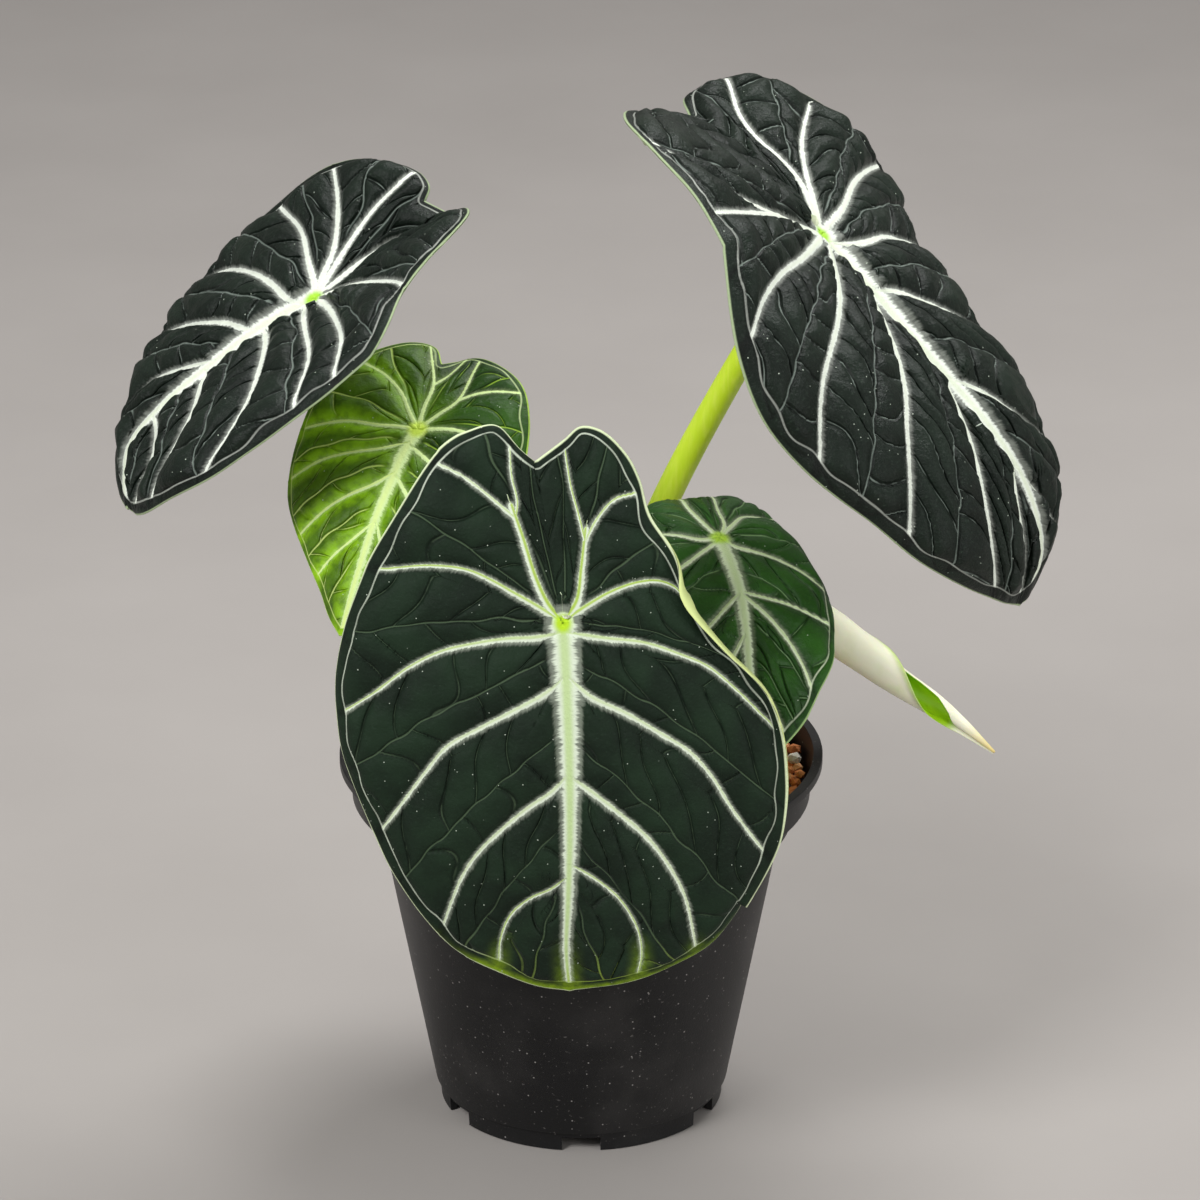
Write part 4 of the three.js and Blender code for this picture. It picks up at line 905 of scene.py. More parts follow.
def absolute(tree, value):
    return maths(tree, "ABSOLUTE", value)


def between(tree, value, low, high, start=0.0, end=1.0):
    node = tree.nodes.new("ShaderNodeMapRange")
    node.interpolation_type = "SMOOTHSTEP"
    given = {"Value": value, "From Min": low, "From Max": high, "To Min": start, "To Max": end}
    for key, number in given.items():
        feed(tree, node.inputs[key], number)
    return node.outputs[0]


def mixed(tree, share, a, b):
    node = tree.nodes.new("ShaderNodeMix")
    node.data_type = "RGBA"
    feed(tree, node.inputs[0], share)
    feed(tree, node.inputs[6], a)
    feed(tree, node.inputs[7], b)
    return node.outputs[2]


def attributeOf(tree, name, output="Fac"):
    node = tree.nodes.new("ShaderNodeAttribute")
    node.attribute_name = name
    return node.outputs[output]


def splitVector(tree, vector):
    node = tree.nodes.new("ShaderNodeSeparateXYZ")
    tree.links.new(vector, node.inputs[0])
    return node.outputs


def vectorOf(tree, x, y, z=0.0):
    node = tree.nodes.new("ShaderNodeCombineXYZ")
    for socket, value in zip(node.inputs, (x, y, z)):
        feed(tree, socket, value)
    return node.outputs[0]


def noiseAt(tree, vector, scale, detail=3.0, roughness=0.5):
    node = tree.nodes.new("ShaderNodeTexNoise")
    feed(tree, node.inputs["Vector"], vector)
    feed(tree, node.inputs["Scale"], scale)
    feed(tree, node.inputs["Detail"], detail)
    feed(tree, node.inputs["Roughness"], roughness)
    return node.outputs[0]


def objectPlace(tree):
    return tree.nodes.new("ShaderNodeTexCoord").outputs["Object"]


def bumpOf(tree, height, strength, distance):
    node = tree.nodes.new("ShaderNodeBump")
    feed(tree, node.inputs["Height"], height)
    feed(tree, node.inputs["Strength"], strength)
    feed(tree, node.inputs["Distance"], distance)
    return node.outputs[0]


# Small round specks in a share of the cells of a scattered pattern.
def specksOf(tree, vector, specks):
    cells = tree.nodes.new("ShaderNodeTexVoronoi")
    tree.links.new(vector, cells.inputs["Vector"])
    cells.inputs["Scale"].default_value = specks["scale"]
    lot = tree.nodes.new("ShaderNodeSeparateColor")
    tree.links.new(cells.outputs["Color"], lot.inputs[0])
    spot = between(tree, cells.outputs["Distance"], *specks["size"], 1.0, 0.0)
    return times(tree, spot, maths(tree, "GREATER_THAN", lot.outputs[0], specks["empty"]))


def setSurface(tree, shader, colour, roughness, bump=None):
    tree.links.new(colour, shader.inputs["Base Color"])
    shader.inputs["Roughness"].default_value = roughness
    if bump:
        tree.links.new(bump, shader.inputs["Normal"])


def setGlowThrough(shader, weight, radius):
    shader.inputs["Subsurface Weight"].default_value = weight
    shader.inputs["Subsurface Radius"].default_value = radius


# The upper face of a blade: dark velvet panels, white feathery veins with a green core, a pale rim.
def leafMaterial(name, look):
    material, tree, shader = newMaterial(name)
    labels = ("veinRatio", "margin", "collective", "cushion", "flatX", "flatY")
    plainRatio, margin, toCollective, cushion, x, y = (attributeOf(tree, label) for label in labels)
    signed, along, green = splitVector(tree, attributeOf(tree, "vein", "Vector"))
    ratio = absolute(tree, signed)
    flat = vectorOf(tree, x, y)
    net = tree.nodes.new("ShaderNodeUVMap")
    net.uv_map = "net"
    middle, phase, _ = splitVector(tree, net.outputs[0])
    middle = absolute(tree, middle)
    cloud = noiseAt(tree, flat, 0.05, 4)
    fine = noiseAt(tree, flat, 1.1, 3)

    # The panels, with painted shade in the creases and a glow that is partly painted light shining through.
    panel = mixed(tree, between(tree, cloud, 0.35, 0.65), look["dark"], look["light"])
    # Lighter flecks at random; on the grey leaves they also stand for painted sheen highlights.
    panel = mixed(tree, between(tree, fine, 0.55, 0.8, 0.0, 0.5), panel, look["fleckAndSheen"])
    # Painted shade: the creases are darkened towards a shadow colour.
    paintedCreaseShadow = between(tree, cushion, 0.0, 0.5, look["creaseShadowShare"], 0.0)
    panel = mixed(tree, paintedCreaseShadow, panel, look["deep"])
    # Painted light: lime laid on where light would shine through the blade; on some blades it is partly
    # their own lime.
    byX, byY, low, high, patches = look["glow"]
    lift = plus(tree, times(tree, x, byX), times(tree, y, byY))
    lift = plus(tree, lift, times(tree, minus(tree, cloud, 0.5), patches))
    glow = between(tree, lift, low, high)
    reach = between(tree, margin, look["glowReach"], look["glowReach"] * 0.2)
    glowPanel = times(tree, times(tree, glow, look["glowPanel"]), reach)
    share, halo = look["glowVein"]
    glowVein = times(tree, glow, times(tree, between(tree, ratio, halo, 0.8), share))
    glowMottle = between(tree, noiseAt(tree, flat, 0.3, 3), 0.25, 0.6, 0.45, 1.0)
    glowHere = times(tree, largest(tree, glowPanel, glowVein), glowMottle)
    panel = mixed(tree, glowHere, panel, look["glowColour"])

    # The net of fine veins between the cushions.
    cross = absolute(tree, minus(tree, maths(tree, "FRACT", plus(tree, phase, 0.5)), 0.5))
    cross = times(tree, cross, look["cellLength"])
    patchy = between(tree, noiseAt(tree, flat, 0.16, 2), 0.35, 0.6)
    inside = between(tree, toCollective, 0.0, 0.3)
    crossLine = times(tree, between(tree, cross, 0.08, 0.3, look["netShow"], 0.0), patchy)
    middleLine = between(tree, middle, 0.1, 0.4, look["middleShow"], 0.0)
    lines = times(tree, largest(tree, crossLine, middleLine), inside)
    lines = times(tree, lines, between(tree, plainRatio, 1.4, 2.6))
    panel = mixed(tree, lines, panel, mixed(tree, glow, look["net"], look["core"]))
    panel = mixed(tree, specksOf(tree, flat, leafSpecks), panel, leafSpecks["colour"])

    # The white veins with feathered edges, a haze beside them and a green core.
    streaks = vectorOf(tree, minus(tree, times(tree, along, 1.3), ratio), times(tree, ratio, 0.5))
    feather = minus(tree, noiseAt(tree, streaks, 1, 4, 0.75), 0.5)
    swell = minus(tree, noiseAt(tree, vectorOf(tree, times(tree, along, 0.23), 0.0), 1, 2), 0.5)
    edge = plus(tree, ratio, times(tree, feather, look["feather"]))
    edge = plus(tree, edge, times(tree, swell, 0.6))
    haze = between(tree, edge, 0.8, 1.7, look["haze"], 0.0)
    white = largest(tree, between(tree, edge, 0.55, 1.0, 1.0, 0.0), haze)
    ends = between(tree, toCollective, -0.5, 0.2)
    white = times(tree, white, ends)
    colour = mixed(tree, white, panel, look["vein"])
    # The midrib is the first vein, so any place past its stretch of numbers is on a side vein.
    onSide = maths(tree, "GREATER_THAN", along, bladeMesh["veinStride"] - 10)
    coreAt = plus(tree, signed, times(tree, onSide, look["coreShift"]))
    core = times(tree, between(tree, absolute(tree, coreAt), 0.1, 0.62, 1.0, 0.0), green)
    core = times(tree, core, ends)
    coreColour = mixed(tree, largest(tree, onSide, glow), look["midCore"], look["core"])
    colour = mixed(tree, core, colour, coreColour)

    # The vein along the margin, the rim, and the bright dot over the stalk.
    full = look["collective"]
    strength = between(tree, noiseAt(tree, flat, 0.07, 2), 0.3, 0.7, full * 0.6, full)
    collective = times(tree, between(tree, absolute(tree, toCollective), 0.08, 0.38, 1.0, 0.0), strength)
    veinColour = mixed(tree, glow, look["vein"], look["core"])
    colour = mixed(tree, collective, colour, veinColour)
    rim = between(tree, margin, look["rim"] * 0.4, look["rim"], 1.0, 0.0)
    colour = mixed(tree, rim, colour, look["rimColour"])
    fromStalk = maths(tree, "SQRT", plus(tree, times(tree, x, x), times(tree, y, y)))
    colour = mixed(tree, between(tree, fromStalk, 1.6, 4.2, 1.0, 0.0), colour, look["dot"])

    crisp = between(tree, maths(tree, "MINIMUM", cross, middle), 0.0, 0.9)
    crisp = plus(tree, times(tree, crisp, inside), minus(tree, 1, inside))
    crisp = largest(tree, crisp, between(tree, ratio, 1.5, 0.9))
    wrinkle = times(tree, noiseAt(tree, flat, 0.75, 4, 0.65), look["wrinkle"])
    bump = bumpOf(tree, plus(tree, crisp, wrinkle), 0.8, look["bump"] * mm)
    setSurface(tree, shader, colour, look["roughness"], bump)
    shader.inputs["Specular IOR Level"].default_value = look["gloss"]
    shader.inputs["Sheen Weight"].default_value = look["sheen"]
    shader.inputs["Sheen Roughness"].default_value = 0.4
    shader.inputs["Sheen Tint"].default_value = (0.75, 0.85, 0.78, 1)
    return material


def undersideMaterial(name, look):
    material, tree, shader = newMaterial(name)
    flat = vectorOf(tree, attributeOf(tree, "flatX"), attributeOf(tree, "flatY"))
    cloud = noiseAt(tree, flat, 0.08, 4)
    base = mixed(tree, cloud, look["under"], look["underLight"])
    nearVein = between(tree, attributeOf(tree, "veinRatio"), 0.5, 1.3, 1.0, 0.0)
    colour = mixed(tree, nearVein, base, look["underVein"])
    nearEdge = between(tree, attributeOf(tree, "margin"), 6.0, 1.5)
    colour = mixed(tree, nearEdge, colour, look["underRim"])
    setSurface(tree, shader, colour, 0.6)
    return material


# The looks of the blades. "glow" is lime that is partly the blade's own colour and partly painted light
# shining
# through it: how it grows with x and with y, where it starts and is full, and how patchy it is. "glowReach"
# is how far in from the margin it goes, and "glowVein" is its share and spread beside a vein. Lengths are
# in millimetres.
leafSpecks = {"scale": 0.42, "size": (0.055, 0.085), "empty": 0.62, "colour": "b9c4b4"}
# In each look the crease colour and its share are painted shade laid into the creases.
darkLook = {
    "dark": "142016", "light": "1c2d1e", "fleckAndSheen": "273a2b", "deep": "080d09", "creaseShadowShare": 0.55,
    "glowColour": "86a61c", "glow": [0, 0.01, 0.98, 1.2, 0.3], "glowReach": 4, "glowPanel": 1,
    "glowVein": [0.6, 4], "net": "5e7356", "netShow": 0.3, "middleShow": 0.5, "slim": 0.64, "haze": 0.3,
    "vein": "dde8d3", "core": "a9c650", "midCore": "bcd592", "coreShift": 0.3, "feather": 1.3,
    "collective": 0.7, "rimColour": "d9e6bb", "dot": "b9e02c", "roughness": 0.62, "gloss": 0.14,
    "sheen": 0.03, "under": "a9b88c", "underLight": "b9c59c", "underVein": "dfe6c4", "underRim": "dcea9a",
    "wrinkle": 0.8, "bump": 0.6, "cellLength": 14, "cellNoise": 0.55, "cellHeight": 1.3, "crease": 1.5,
    "ridge": 1, "marginWave": 0.4,
}
# On the grey leaves the light flecks are partly painted sheen.
greyLook = dict(
    darkLook, dark="0f1711", light="19231b", fleckAndSheen="38463a", gloss=0.16, roughness=0.4, vein="e9efe3",
    core="d3dfae", midCore="d6e2bd", coreShift=0.0, net="93a096", netShow=0.55, glow=[0, 0, 1, 2, 0],
    cellLength=11, cellHeight=2.2, crease=1.8, bump=0.8, dot="a5d83a", rimColour="9fb088", slim=1.1,
    collective=0.4, creaseShadowShare=0.85, underRim="a9b690")
# The small left leaf's glow is painted light shining through it, growing towards the left and the tip of
# its drawing.
limeLook = dict(
    darkLook, dark="143204", light="2a5206", fleckAndSheen="42700c", deep="0e2604", creaseShadowShare=0.6,
    glowColour="97cc12", glow=[-0.016, 0.006, -0.3, 0.5, 0.6], glowReach=400, glowPanel=0.22,
    glowVein=[0.95, 5], net="a6cf42", vein="d6edaa", core="dcf090", midCore="e2f2a4", roughness=0.45,
    gloss=0.25, cellHeight=1.0, rimColour="b4d85a", dot="d5f05a", netShow=0.6, middleShow=0.7, slim=0.75,
    haze=0.2, sheen=0)
greenLook = dict(
    darkLook, dark="1c4210", light="2c5a1b", fleckAndSheen="3c702a", deep="0f2a0a", creaseShadowShare=0.7,
    glowColour="62962c", glow=[0, -0.01, 0.2, 0.9, 0.6], glowReach=400, net="8fb37c", vein="dfeccb",
    core="b9d873", midCore="c9dfa0", roughness=0.45, gloss=0.3, cellHeight=1.4, rimColour="9fc07a",
    dot="b9e04a", netShow=0.5, middleShow=0.6, slim=1.0, marginWave=0.9)

for leaf, paint, look, name, slot in (
    (frontLeaf, frontPaint, darkLook, "front_leaf", "dark_leaf"),
    (leftLeaf, leftPaint, greyLook, "left_leaf", "dark_leaf"),
    (rightLeaf, rightPaint, greyLook, "right_leaf", "dark_leaf"),
    # The small left leaf's lime is partly its young colour and partly painted light shining through it.
    (smallLeftLeaf, smallLeftPaint, limeLook, "small_left_leaf", "young_leaf"),
    (smallRightLeaf, smallRightPaint, greenLook, "small_right_leaf", "green_leaf"),
):
    look = {**look, **paint}
    piece = makeLeaf(leaf, look, name, leaf["name"])
    piece.data.materials.append(leafMaterial(name + "_top", look))
    piece.data.materials.append(undersideMaterial(name + "_under", look))


# Round stalks along the same routes as the solids'. A route is a place in the bed, then points on the way.
# Of the two radii the first is at the bed, where a flare is added over the lowest part.
stalks = {
    "bedTop": 104.5,
    "depth": 12,
    "upright": 4,
    "join": 1.6,
    "rings": 90,
    "flare": {"share": 0.35, "over": 0.3},
    "routes": {
        "front": [[-1, -16], [-3, -28, 143], [-5, -56, 181]],
        "left": [[-12.5, 10], [-22, 22, 140], [-40, 30, 190], [-62, 26, 228]],
        "left_small": [[-15.5, -5], [-25, -7, 140], [-40, -13, 188]],
        "right": [[0, 16.5], [9, 28, 140], [25, 36, 183], [53.5, 22, 246]],
        "right_small": [[14, -7.5], [20, -10, 140], [32, -10, 172]],
        "rolled": [[12.5, 10.5], [24, 15, 138], [42, 18, 158]],
    },
    "radii": {
        "front": [4.6, 3.2], "left": [4.8, 3.1], "left_small": [4, 2.5],
        "right": [5, 3.7], "right_small": [4, 2.5], "rolled": [4.4, 2.6],
    },
    "colour": "cfec2e",
    "pale": "e2f65c",
    "base": "9dbc3a",
    "streaks": (900, 900, 60),
}

# The new leaf, a scroll of one thin sheet. Angles go round from the viewer's side, 90 being on top. Its
# outer edge lies on top near the stalk, winds down in front, and leaves the lower half open to the front.
scroll = {
    "axis": [[56, 17, 166], [66, 15, 159.5], [80, 12.5, 149.5], [98, 10, 136.5], [114, 9, 125.5],
             [129, 9, 112]],
    "radius": [[0, 2.6], [0.1, 5.4], [0.3, 6], [0.5, 5], [0.7, 3.7], [0.88, 1.9], [1, 0.5]],
    "outerEdge": [[0, 150], [0.34, 125], [0.46, 100], [0.55, 45], [0.65, -18], [0.72, -58], [0.78, -85],
                  [0.86, -110], [1, -120]],
    "innerEdge": [[0, -330], [0.42, -322], [0.52, -300], [0.64, -296], [0.72, -312], [0.78, -360],
                  [0.83, -440], [0.88, -490], [1, -500]],
    "facing": 22.7,
    "steps": 170,
    "around": 84,
    "thickness": 0.7,
    "spiral": 1.3,
    "swell": 1.16,
    "joinShare": 0.2,
    "joinBelow": 3.5,
    "cream": "fbfae0",
    "green": "b5d45a",
    "inside": "a6d616",
    "tipColour": "e2cf86",
}


def unitRows(vectors):
    return vectors / np.linalg.norm(vectors, axis=1, keepdims=True)


# The quads between rings of points, each ring joined to the next.
def ringFaces(rings, sides):
    faces = []
    for ring in range(rings - 1):
        for k in range(sides):
            a, b = ring * sides + k, ring * sides + (k + 1) % sides
            faces.append((a, b, b + sides, a + sides))
    return faces


def makeTube(name, line, radii, sides=32):
    tangents = unitRows(np.gradient(line, axis=0))
    side = np.cross(tangents[0], [0.0, 1.0, 0.0])
    rings = []
    angles = np.linspace(0, 2 * math.pi, sides, endpoint=False)
    for point, tangent, radius in zip(line, tangents, radii):
        side = side - tangent * (side @ tangent)
        side = side / np.linalg.norm(side)
        up = np.cross(tangent, side)
        rings.append(point + radius * (np.outer(np.cos(angles), side) + np.outer(np.sin(angles), up)))
    points = np.vstack(rings + [line[0][None], line[-1][None]])
    count = len(line)
    faces = ringFaces(count, sides)
    top = (count - 1) * sides
    for k in range(sides):
        faces.append((count * sides, (k + 1) % sides, k))
        faces.append((count * sides + 1, top + k, top + (k + 1) % sides))
    piece = meshObject(name, points * mm, faces)
    addAttribute(piece, "along", np.append(np.repeat(np.linspace(0, 1, count), sides), [0, 1]))
    return piece


def stalkMaterial():
    material, tree, shader = newMaterial("stalk")
    stretched = tree.nodes.new("ShaderNodeMapping")
    tree.links.new(objectPlace(tree), stretched.inputs[0])
    stretched.inputs["Scale"].default_value = stalks["streaks"]
    streak = noiseAt(tree, stretched.outputs[0], 1.0, 4)
    pale = between(tree, streak, 0.4, 0.7, 0.0, 0.5)
    colour = mixed(tree, pale, stalks["colour"], stalks["pale"])
    nearBed = between(tree, attributeOf(tree, "along"), 0.05, 0.35, 0.7, 0.0)
    colour = mixed(tree, nearBed, colour, stalks["base"])
    setSurface(tree, shader, colour, 0.42, bumpOf(tree, streak, 0.1, 0.0002))
    setGlowThrough(shader, 0.15, (0.003, 0.004, 0.001))
    return material


stalkMat = stalkMaterial()
joinPoints = {}
for leaf in (frontLeaf, leftLeaf, smallLeftLeaf, rightLeaf, smallRightLeaf):
    zero = np.zeros(1)
    under = bladeNormal(leaf, zero, zero)[0] * stalks["join"]
    joinPoints[leaf["name"].removeprefix("leaf_")] = bladePoint(leaf, zero, zero)[0] - under
scrollLine = curveThrough(scroll["axis"], 24)
scrollJoin = pointsAt(scrollLine, np.array([scroll["joinShare"]]))[0]
joinPoints["rolled"] = scrollJoin - [0, 0, scroll["joinBelow"]]
for key, route in stalks["routes"].items():
    x, y = route[0]
    points = [[x, y, stalks["bedTop"] - stalks["depth"]], [x, y, stalks["bedTop"] + stalks["upright"]],
              *route[1:], joinPoints[key]]
    share = np.linspace(0, 1, stalks["rings"])
    line = pointsAt(curveThrough(points, 30), share)
    atBed, atTop = stalks["radii"][key]
    flare = 1 + stalks["flare"]["share"] * smoothStep(1 - share / stalks["flare"]["over"])
    piece = makeTube("petiole_of_" + key, line, (atBed + (atTop - atBed) * share) * flare)
    piece.data.materials.append(stalkMat)
    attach(piece, "root")
    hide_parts("petiole_" + key)
print("petioles made")


# A profile of radii and heights, turned round the upright axis.
def makeTurned(name, profile, sides):
    angles = np.linspace(0, 2 * math.pi, sides, endpoint=False)
    points, faces, rows = [], [], []
    for radius, height in profile:
        if radius < 1e-6:
            rows.append([len(points)] * sides)
            points.append((0, 0, height))
        else:
            rows.append(list(range(len(points), len(points) + sides)))
            points.extend((radius * math.cos(a), radius * math.sin(a), height) for a in angles)
    for lower, upper in zip(rows, rows[1:]):
        for k in range(sides):
            j = (k + 1) % sides
            corner = [lower[k], lower[j], upper[j], upper[k]]
            face = [v for n, v in enumerate(corner) if v not in corner[:n]]
            if len(face) > 2:
                faces.append(face)
    return meshObject(name, np.array(points, float) * mm, faces)


# The crown that the petioles rise from, half sunk in the granules.
crownShape = {
    "profile": [[0, 92.5], [6.8, 92.5], [8.5, 104.5], [8.2, 109], [7.4, 113], [5.6, 116.5], [3, 118.7],
                [0, 119.5]],
    "sides": 48,
    "dark": "7c6238",
    "light": "a08a55",
    "grain": 260,
}
crown = makeTurned("crown", crownShape["profile"], crownShape["sides"])
material, tree, shader = newMaterial("crown")
bark = noiseAt(tree, objectPlace(tree), crownShape["grain"], 5)
setSurface(tree, shader, mixed(tree, bark, crownShape["dark"], crownShape["light"]), 0.8)
crown.data.materials.append(material)
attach(crown, "root")
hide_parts("stem_base")


# Leaves the piece selected and active.
def faceOutwards(piece):
    bpy.context.view_layer.objects.active = piece
    piece.select_set(True)
    bpy.ops.object.mode_set(mode="EDIT")
    bpy.ops.mesh.select_all(action="SELECT")
    bpy.ops.mesh.normals_make_consistent(inside=False)
    bpy.ops.object.mode_set(mode="OBJECT")


def makeScroll():
    steps, around = scroll["steps"], scroll["around"]
    shares = np.linspace(0, 1, steps)
    line = pointsAt(scrollLine, shares)
    tangents = unitRows(np.gradient(line, axis=0))
    rise = math.radians(scroll["facing"])
    toViewer = np.array([0, -math.cos(rise), math.sin(rise)])
    front = unitRows(toViewer - tangents * (tangents @ toViewer)[:, None])
    up = np.cross(tangents, front)
    up = up * np.sign(up[:, 2:3])
    table, outer, inner = (np.array(scroll[key], float) for key in ("radius", "outerEdge", "innerEdge"))
    part = np.linspace(0, 1, around)
    rings = []
    for i, share in enumerate(shares):
        radius = np.interp(share, table[:, 0], table[:, 1]) * scroll["swell"]
        start, end = np.interp(share, outer[:, 0], outer[:, 1]), np.interp(share, inner[:, 0], inner[:, 1])
        angle = np.radians(start + (end - start) * part)
        turns = (start - end) * part / 360
        thick = min(scroll["thickness"], 0.3 * radius)
        outside = radius - min(scroll["spiral"], 0.45 * radius) * turns
        # The outer edge stands off a little once the scroll opens, and both edges are rounded.
        lip = np.exp(-(part / 0.05) ** 2) * 0.25 * min(radius, 3) * smoothStep((share - 0.35) / 0.1)
        outside = outside + lip
        inside = outside - thick * np.sqrt(np.clip(np.minimum(part, 1 - part) / 0.03, 0.05, 1))
        reach = np.concatenate([outside, inside[::-1]])
        turn = np.concatenate([angle, angle[::-1]])
        ring = line[i] + np.outer(reach * np.cos(turn), front[i])
        rings.append(ring + np.outer(reach * np.sin(turn), up[i]))
    count = 2 * around
    faces = ringFaces(steps, count)
    last = (steps - 1) * count
    for k in range(around - 1):
        faces.append((k + 1, k, count - 1 - k, count - 2 - k))
        faces.append((last + k, last + k + 1, last + count - 2 - k, last + count - 1 - k))
    piece = meshObject("rolled_leaf", np.vstack(rings) * mm, faces)
    faceOutwards(piece)
    piece.select_set(False)
    addAttribute(piece, "along", np.repeat(shares, count))
    addAttribute(piece, "outside", np.tile(np.repeat([1, 0], around), steps))
    addAttribute(piece, "edge", np.tile(np.concatenate([part, part[::-1]]), steps))
    return piece


def scrollMaterial():
    material, tree, shader = newMaterial("rolled_leaf")
    cream, green = scroll["cream"], scroll["green"]
    along = attributeOf(tree, "along")
    colour = mixed(tree, between(tree, along, 0.82, 1.0), cream, scroll["tipColour"])
    place = objectPlace(tree)
    streak = noiseAt(tree, place, 120, 3)
    colour = mixed(tree, between(tree, streak, 0.5, 0.8, 0.0, 0.2), colour, green)
    lip = between(tree, attributeOf(tree, "edge"), 0.0, 0.07, 0.8, 0.0)
    colour = mixed(tree, lip, colour, green)
    inside = mixed(tree, between(tree, along, 0.8, 0.86), scroll["inside"], cream)
    colour = mixed(tree, attributeOf(tree, "outside"), inside, colour)
    setSurface(tree, shader, colour, 0.42, bumpOf(tree, noiseAt(tree, place, 500, 3), 0.2, 0.0004))
    setGlowThrough(shader, 0.2, (0.002, 0.003, 0.001))
    return material


piece = makeScroll()
piece.data.materials.append(scrollMaterial())
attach(piece, "root")
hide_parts("leaf_rolled")
print("rolled leaf made")

# The pot: a turned profile in millimetres, with notches cut in its foot and drain holes in its floor. The
# sizes of the cutters and how far out they stand are in metres.
potShape = {
    "sides": 240,
    "profile": [
        [0, 6.5], [44.2, 6.5], [61.1, 95.6], [61.6, 96.6], [63.4, 97.4], [64, 98.2], [64, 99.6],
        [64.6, 100.6], [69.2, 104.2], [70.4, 105.4], [71.9, 116.4], [72.2, 117], [74.7, 117], [75, 116.7],
        [75, 114.2], [74.8, 113.9], [72.2, 113.5], [71.5, 113], [71.2, 103.8], [70.9, 103.3], [66.2, 98.8],
        [65.9, 98.2], [65.6, 95.2], [65.4, 94.9], [63, 94.6], [62.6, 94.2], [46.1, 6.9], [45.9, 6.5],
        [44.8, 6.2], [44.7, 5.9], [44.4, 0.2], [44.2, 0], [42.3, 0], [42.1, 0.2], [42.1, 4.9], [0, 4.9],
    ],
    "smoothBelow": 35,
    "notches": {"count": 6, "out": 0.044, "size": (0.008, 0.012, 0.0092)},
    "drains": {"count": 6, "out": 0.027, "radius": 0.004, "depth": 0.02, "height": 0.006},
    "colour": "101011",
    "dust": "6b6866",
    "grit": {"scale": 430, "size": (0.07, 0.15), "empty": 0.7, "colour": "8f8c89"},
}


def cutFromPot(cutter):
    cut = pot.modifiers.new("cut", "BOOLEAN")
    cut.operation = "DIFFERENCE"
    cut.solver = "EXACT"
    cut.object = cutter
    bpy.context.view_layer.objects.active = pot
    bpy.ops.object.modifier_apply(modifier="cut")
    bpy.data.objects.remove(cutter)


pot = makeTurned("plastic_pot", potShape["profile"], potShape["sides"])
faceOutwards(pot)
bpy.ops.object.shade_smooth_by_angle(angle=math.radians(potShape["smoothBelow"]))
notches, drains = potShape["notches"], potShape["drains"]
for k in range(notches["count"]):
    angle = 2 * math.pi * k / notches["count"] - math.pi / 2
    place = (notches["out"] * math.cos(angle), notches["out"] * math.sin(angle), 0)
    bpy.ops.mesh.primitive_cube_add(size=1, location=place, rotation=(0, 0, angle))
    bpy.context.object.scale = notches["size"]
    cutFromPot(bpy.context.object)
for k in range(drains["count"]):
    angle = 2 * math.pi * (k + 0.5) / drains["count"] - math.pi / 2
    place = (drains["out"] * math.cos(angle), drains["out"] * math.sin(angle), drains["height"])
    bpy.ops.mesh.primitive_cylinder_add(vertices=40, radius=drains["radius"], depth=drains["depth"],
                                        location=place)
    cutFromPot(bpy.context.object)


def potMaterial():
    material, tree, shader = newMaterial("pot_plastic")
    place = objectPlace(tree)
    plastic, dust = potShape["colour"], potShape["dust"]
    fine = between(tree, noiseAt(tree, place, 900, 2), 0.66, 0.76, 0.0, 0.6)
    cloud = between(tree, noiseAt(tree, place, 30, 4), 0.45, 0.75, 0.0, 0.12)
    base = mixed(tree, cloud, mixed(tree, fine, plastic, dust), dust)
    base = mixed(tree, specksOf(tree, place, potShape["grit"]), base, potShape["grit"]["colour"])
    setSurface(tree, shader, base, 0.5, bumpOf(tree, noiseAt(tree, place, 1500, 2), 0.15, 0.0003))
    shader.inputs["Specular IOR Level"].default_value = 0.32
    return material


pot.data.materials.append(potMaterial())
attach(pot, "root")
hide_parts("pot")
print("pot made")

# Lumps of burnt clay, heaped towards the pot's wall, and a plain bed below them, darker to paint the shade
# in the gaps between the lumps. "whites" gives the place and radius of the white ones, which lie on top.
granules = {
    "tries": 60000,
    "seed": 5,
    "size": [1.7, 2.9],
    "top": 105.6,
    "sunk": 0.6,
    "uneven": 1.2,
    "reach": 68,
    "heap": 5.5,
    "heapFrom": 30,
    "heapOver": 30,
    "spacing": 0.72,
    "cell": 6,
    "stemGap": 8.8,
    "colours": ["ee9a5e", "dd8348", "f5b885", "b97040"],
    "white": "e9e4da",
    "whites": [[66.3, 4, 2.6], [-30, 44, 2.8], [22, 56, 2.5]],
    "whiteSeed": 9,
    "whiteRaised": 0.4,
    "below": [[0, 7.2], [43.6, 7.2], [60.4, 96], [63.4, 98], [63.4, 99.8], [66.8, 102.4], [0, 102.4]],
    "belowSides": 96,
    "belowShadeColour": "7c4a2c",
}

# A lump is a solid of twenty triangles with its corners moved at random.
golden = (1 + 5 ** 0.5) / 2
lumpCorners = [
    (-1, golden, 0), (1, golden, 0), (-1, -golden, 0), (1, -golden, 0), (0, -1, golden), (0, 1, golden),
    (0, -1, -golden), (0, 1, -golden), (golden, 0, -1), (golden, 0, 1), (-golden, 0, -1), (-golden, 0, 1),
]
lumpTriangles = [
    (0, 11, 5), (0, 5, 1), (0, 1, 7), (0, 7, 10), (0, 10, 11), (1, 5, 9), (5, 11, 4), (11, 10, 2),
    (10, 7, 6), (7, 1, 8), (3, 9, 4), (3, 4, 2), (3, 2, 6), (3, 6, 8), (3, 8, 9), (4, 9, 5), (2, 4, 11),
    (6, 2, 10), (8, 6, 7), (9, 8, 1),
]


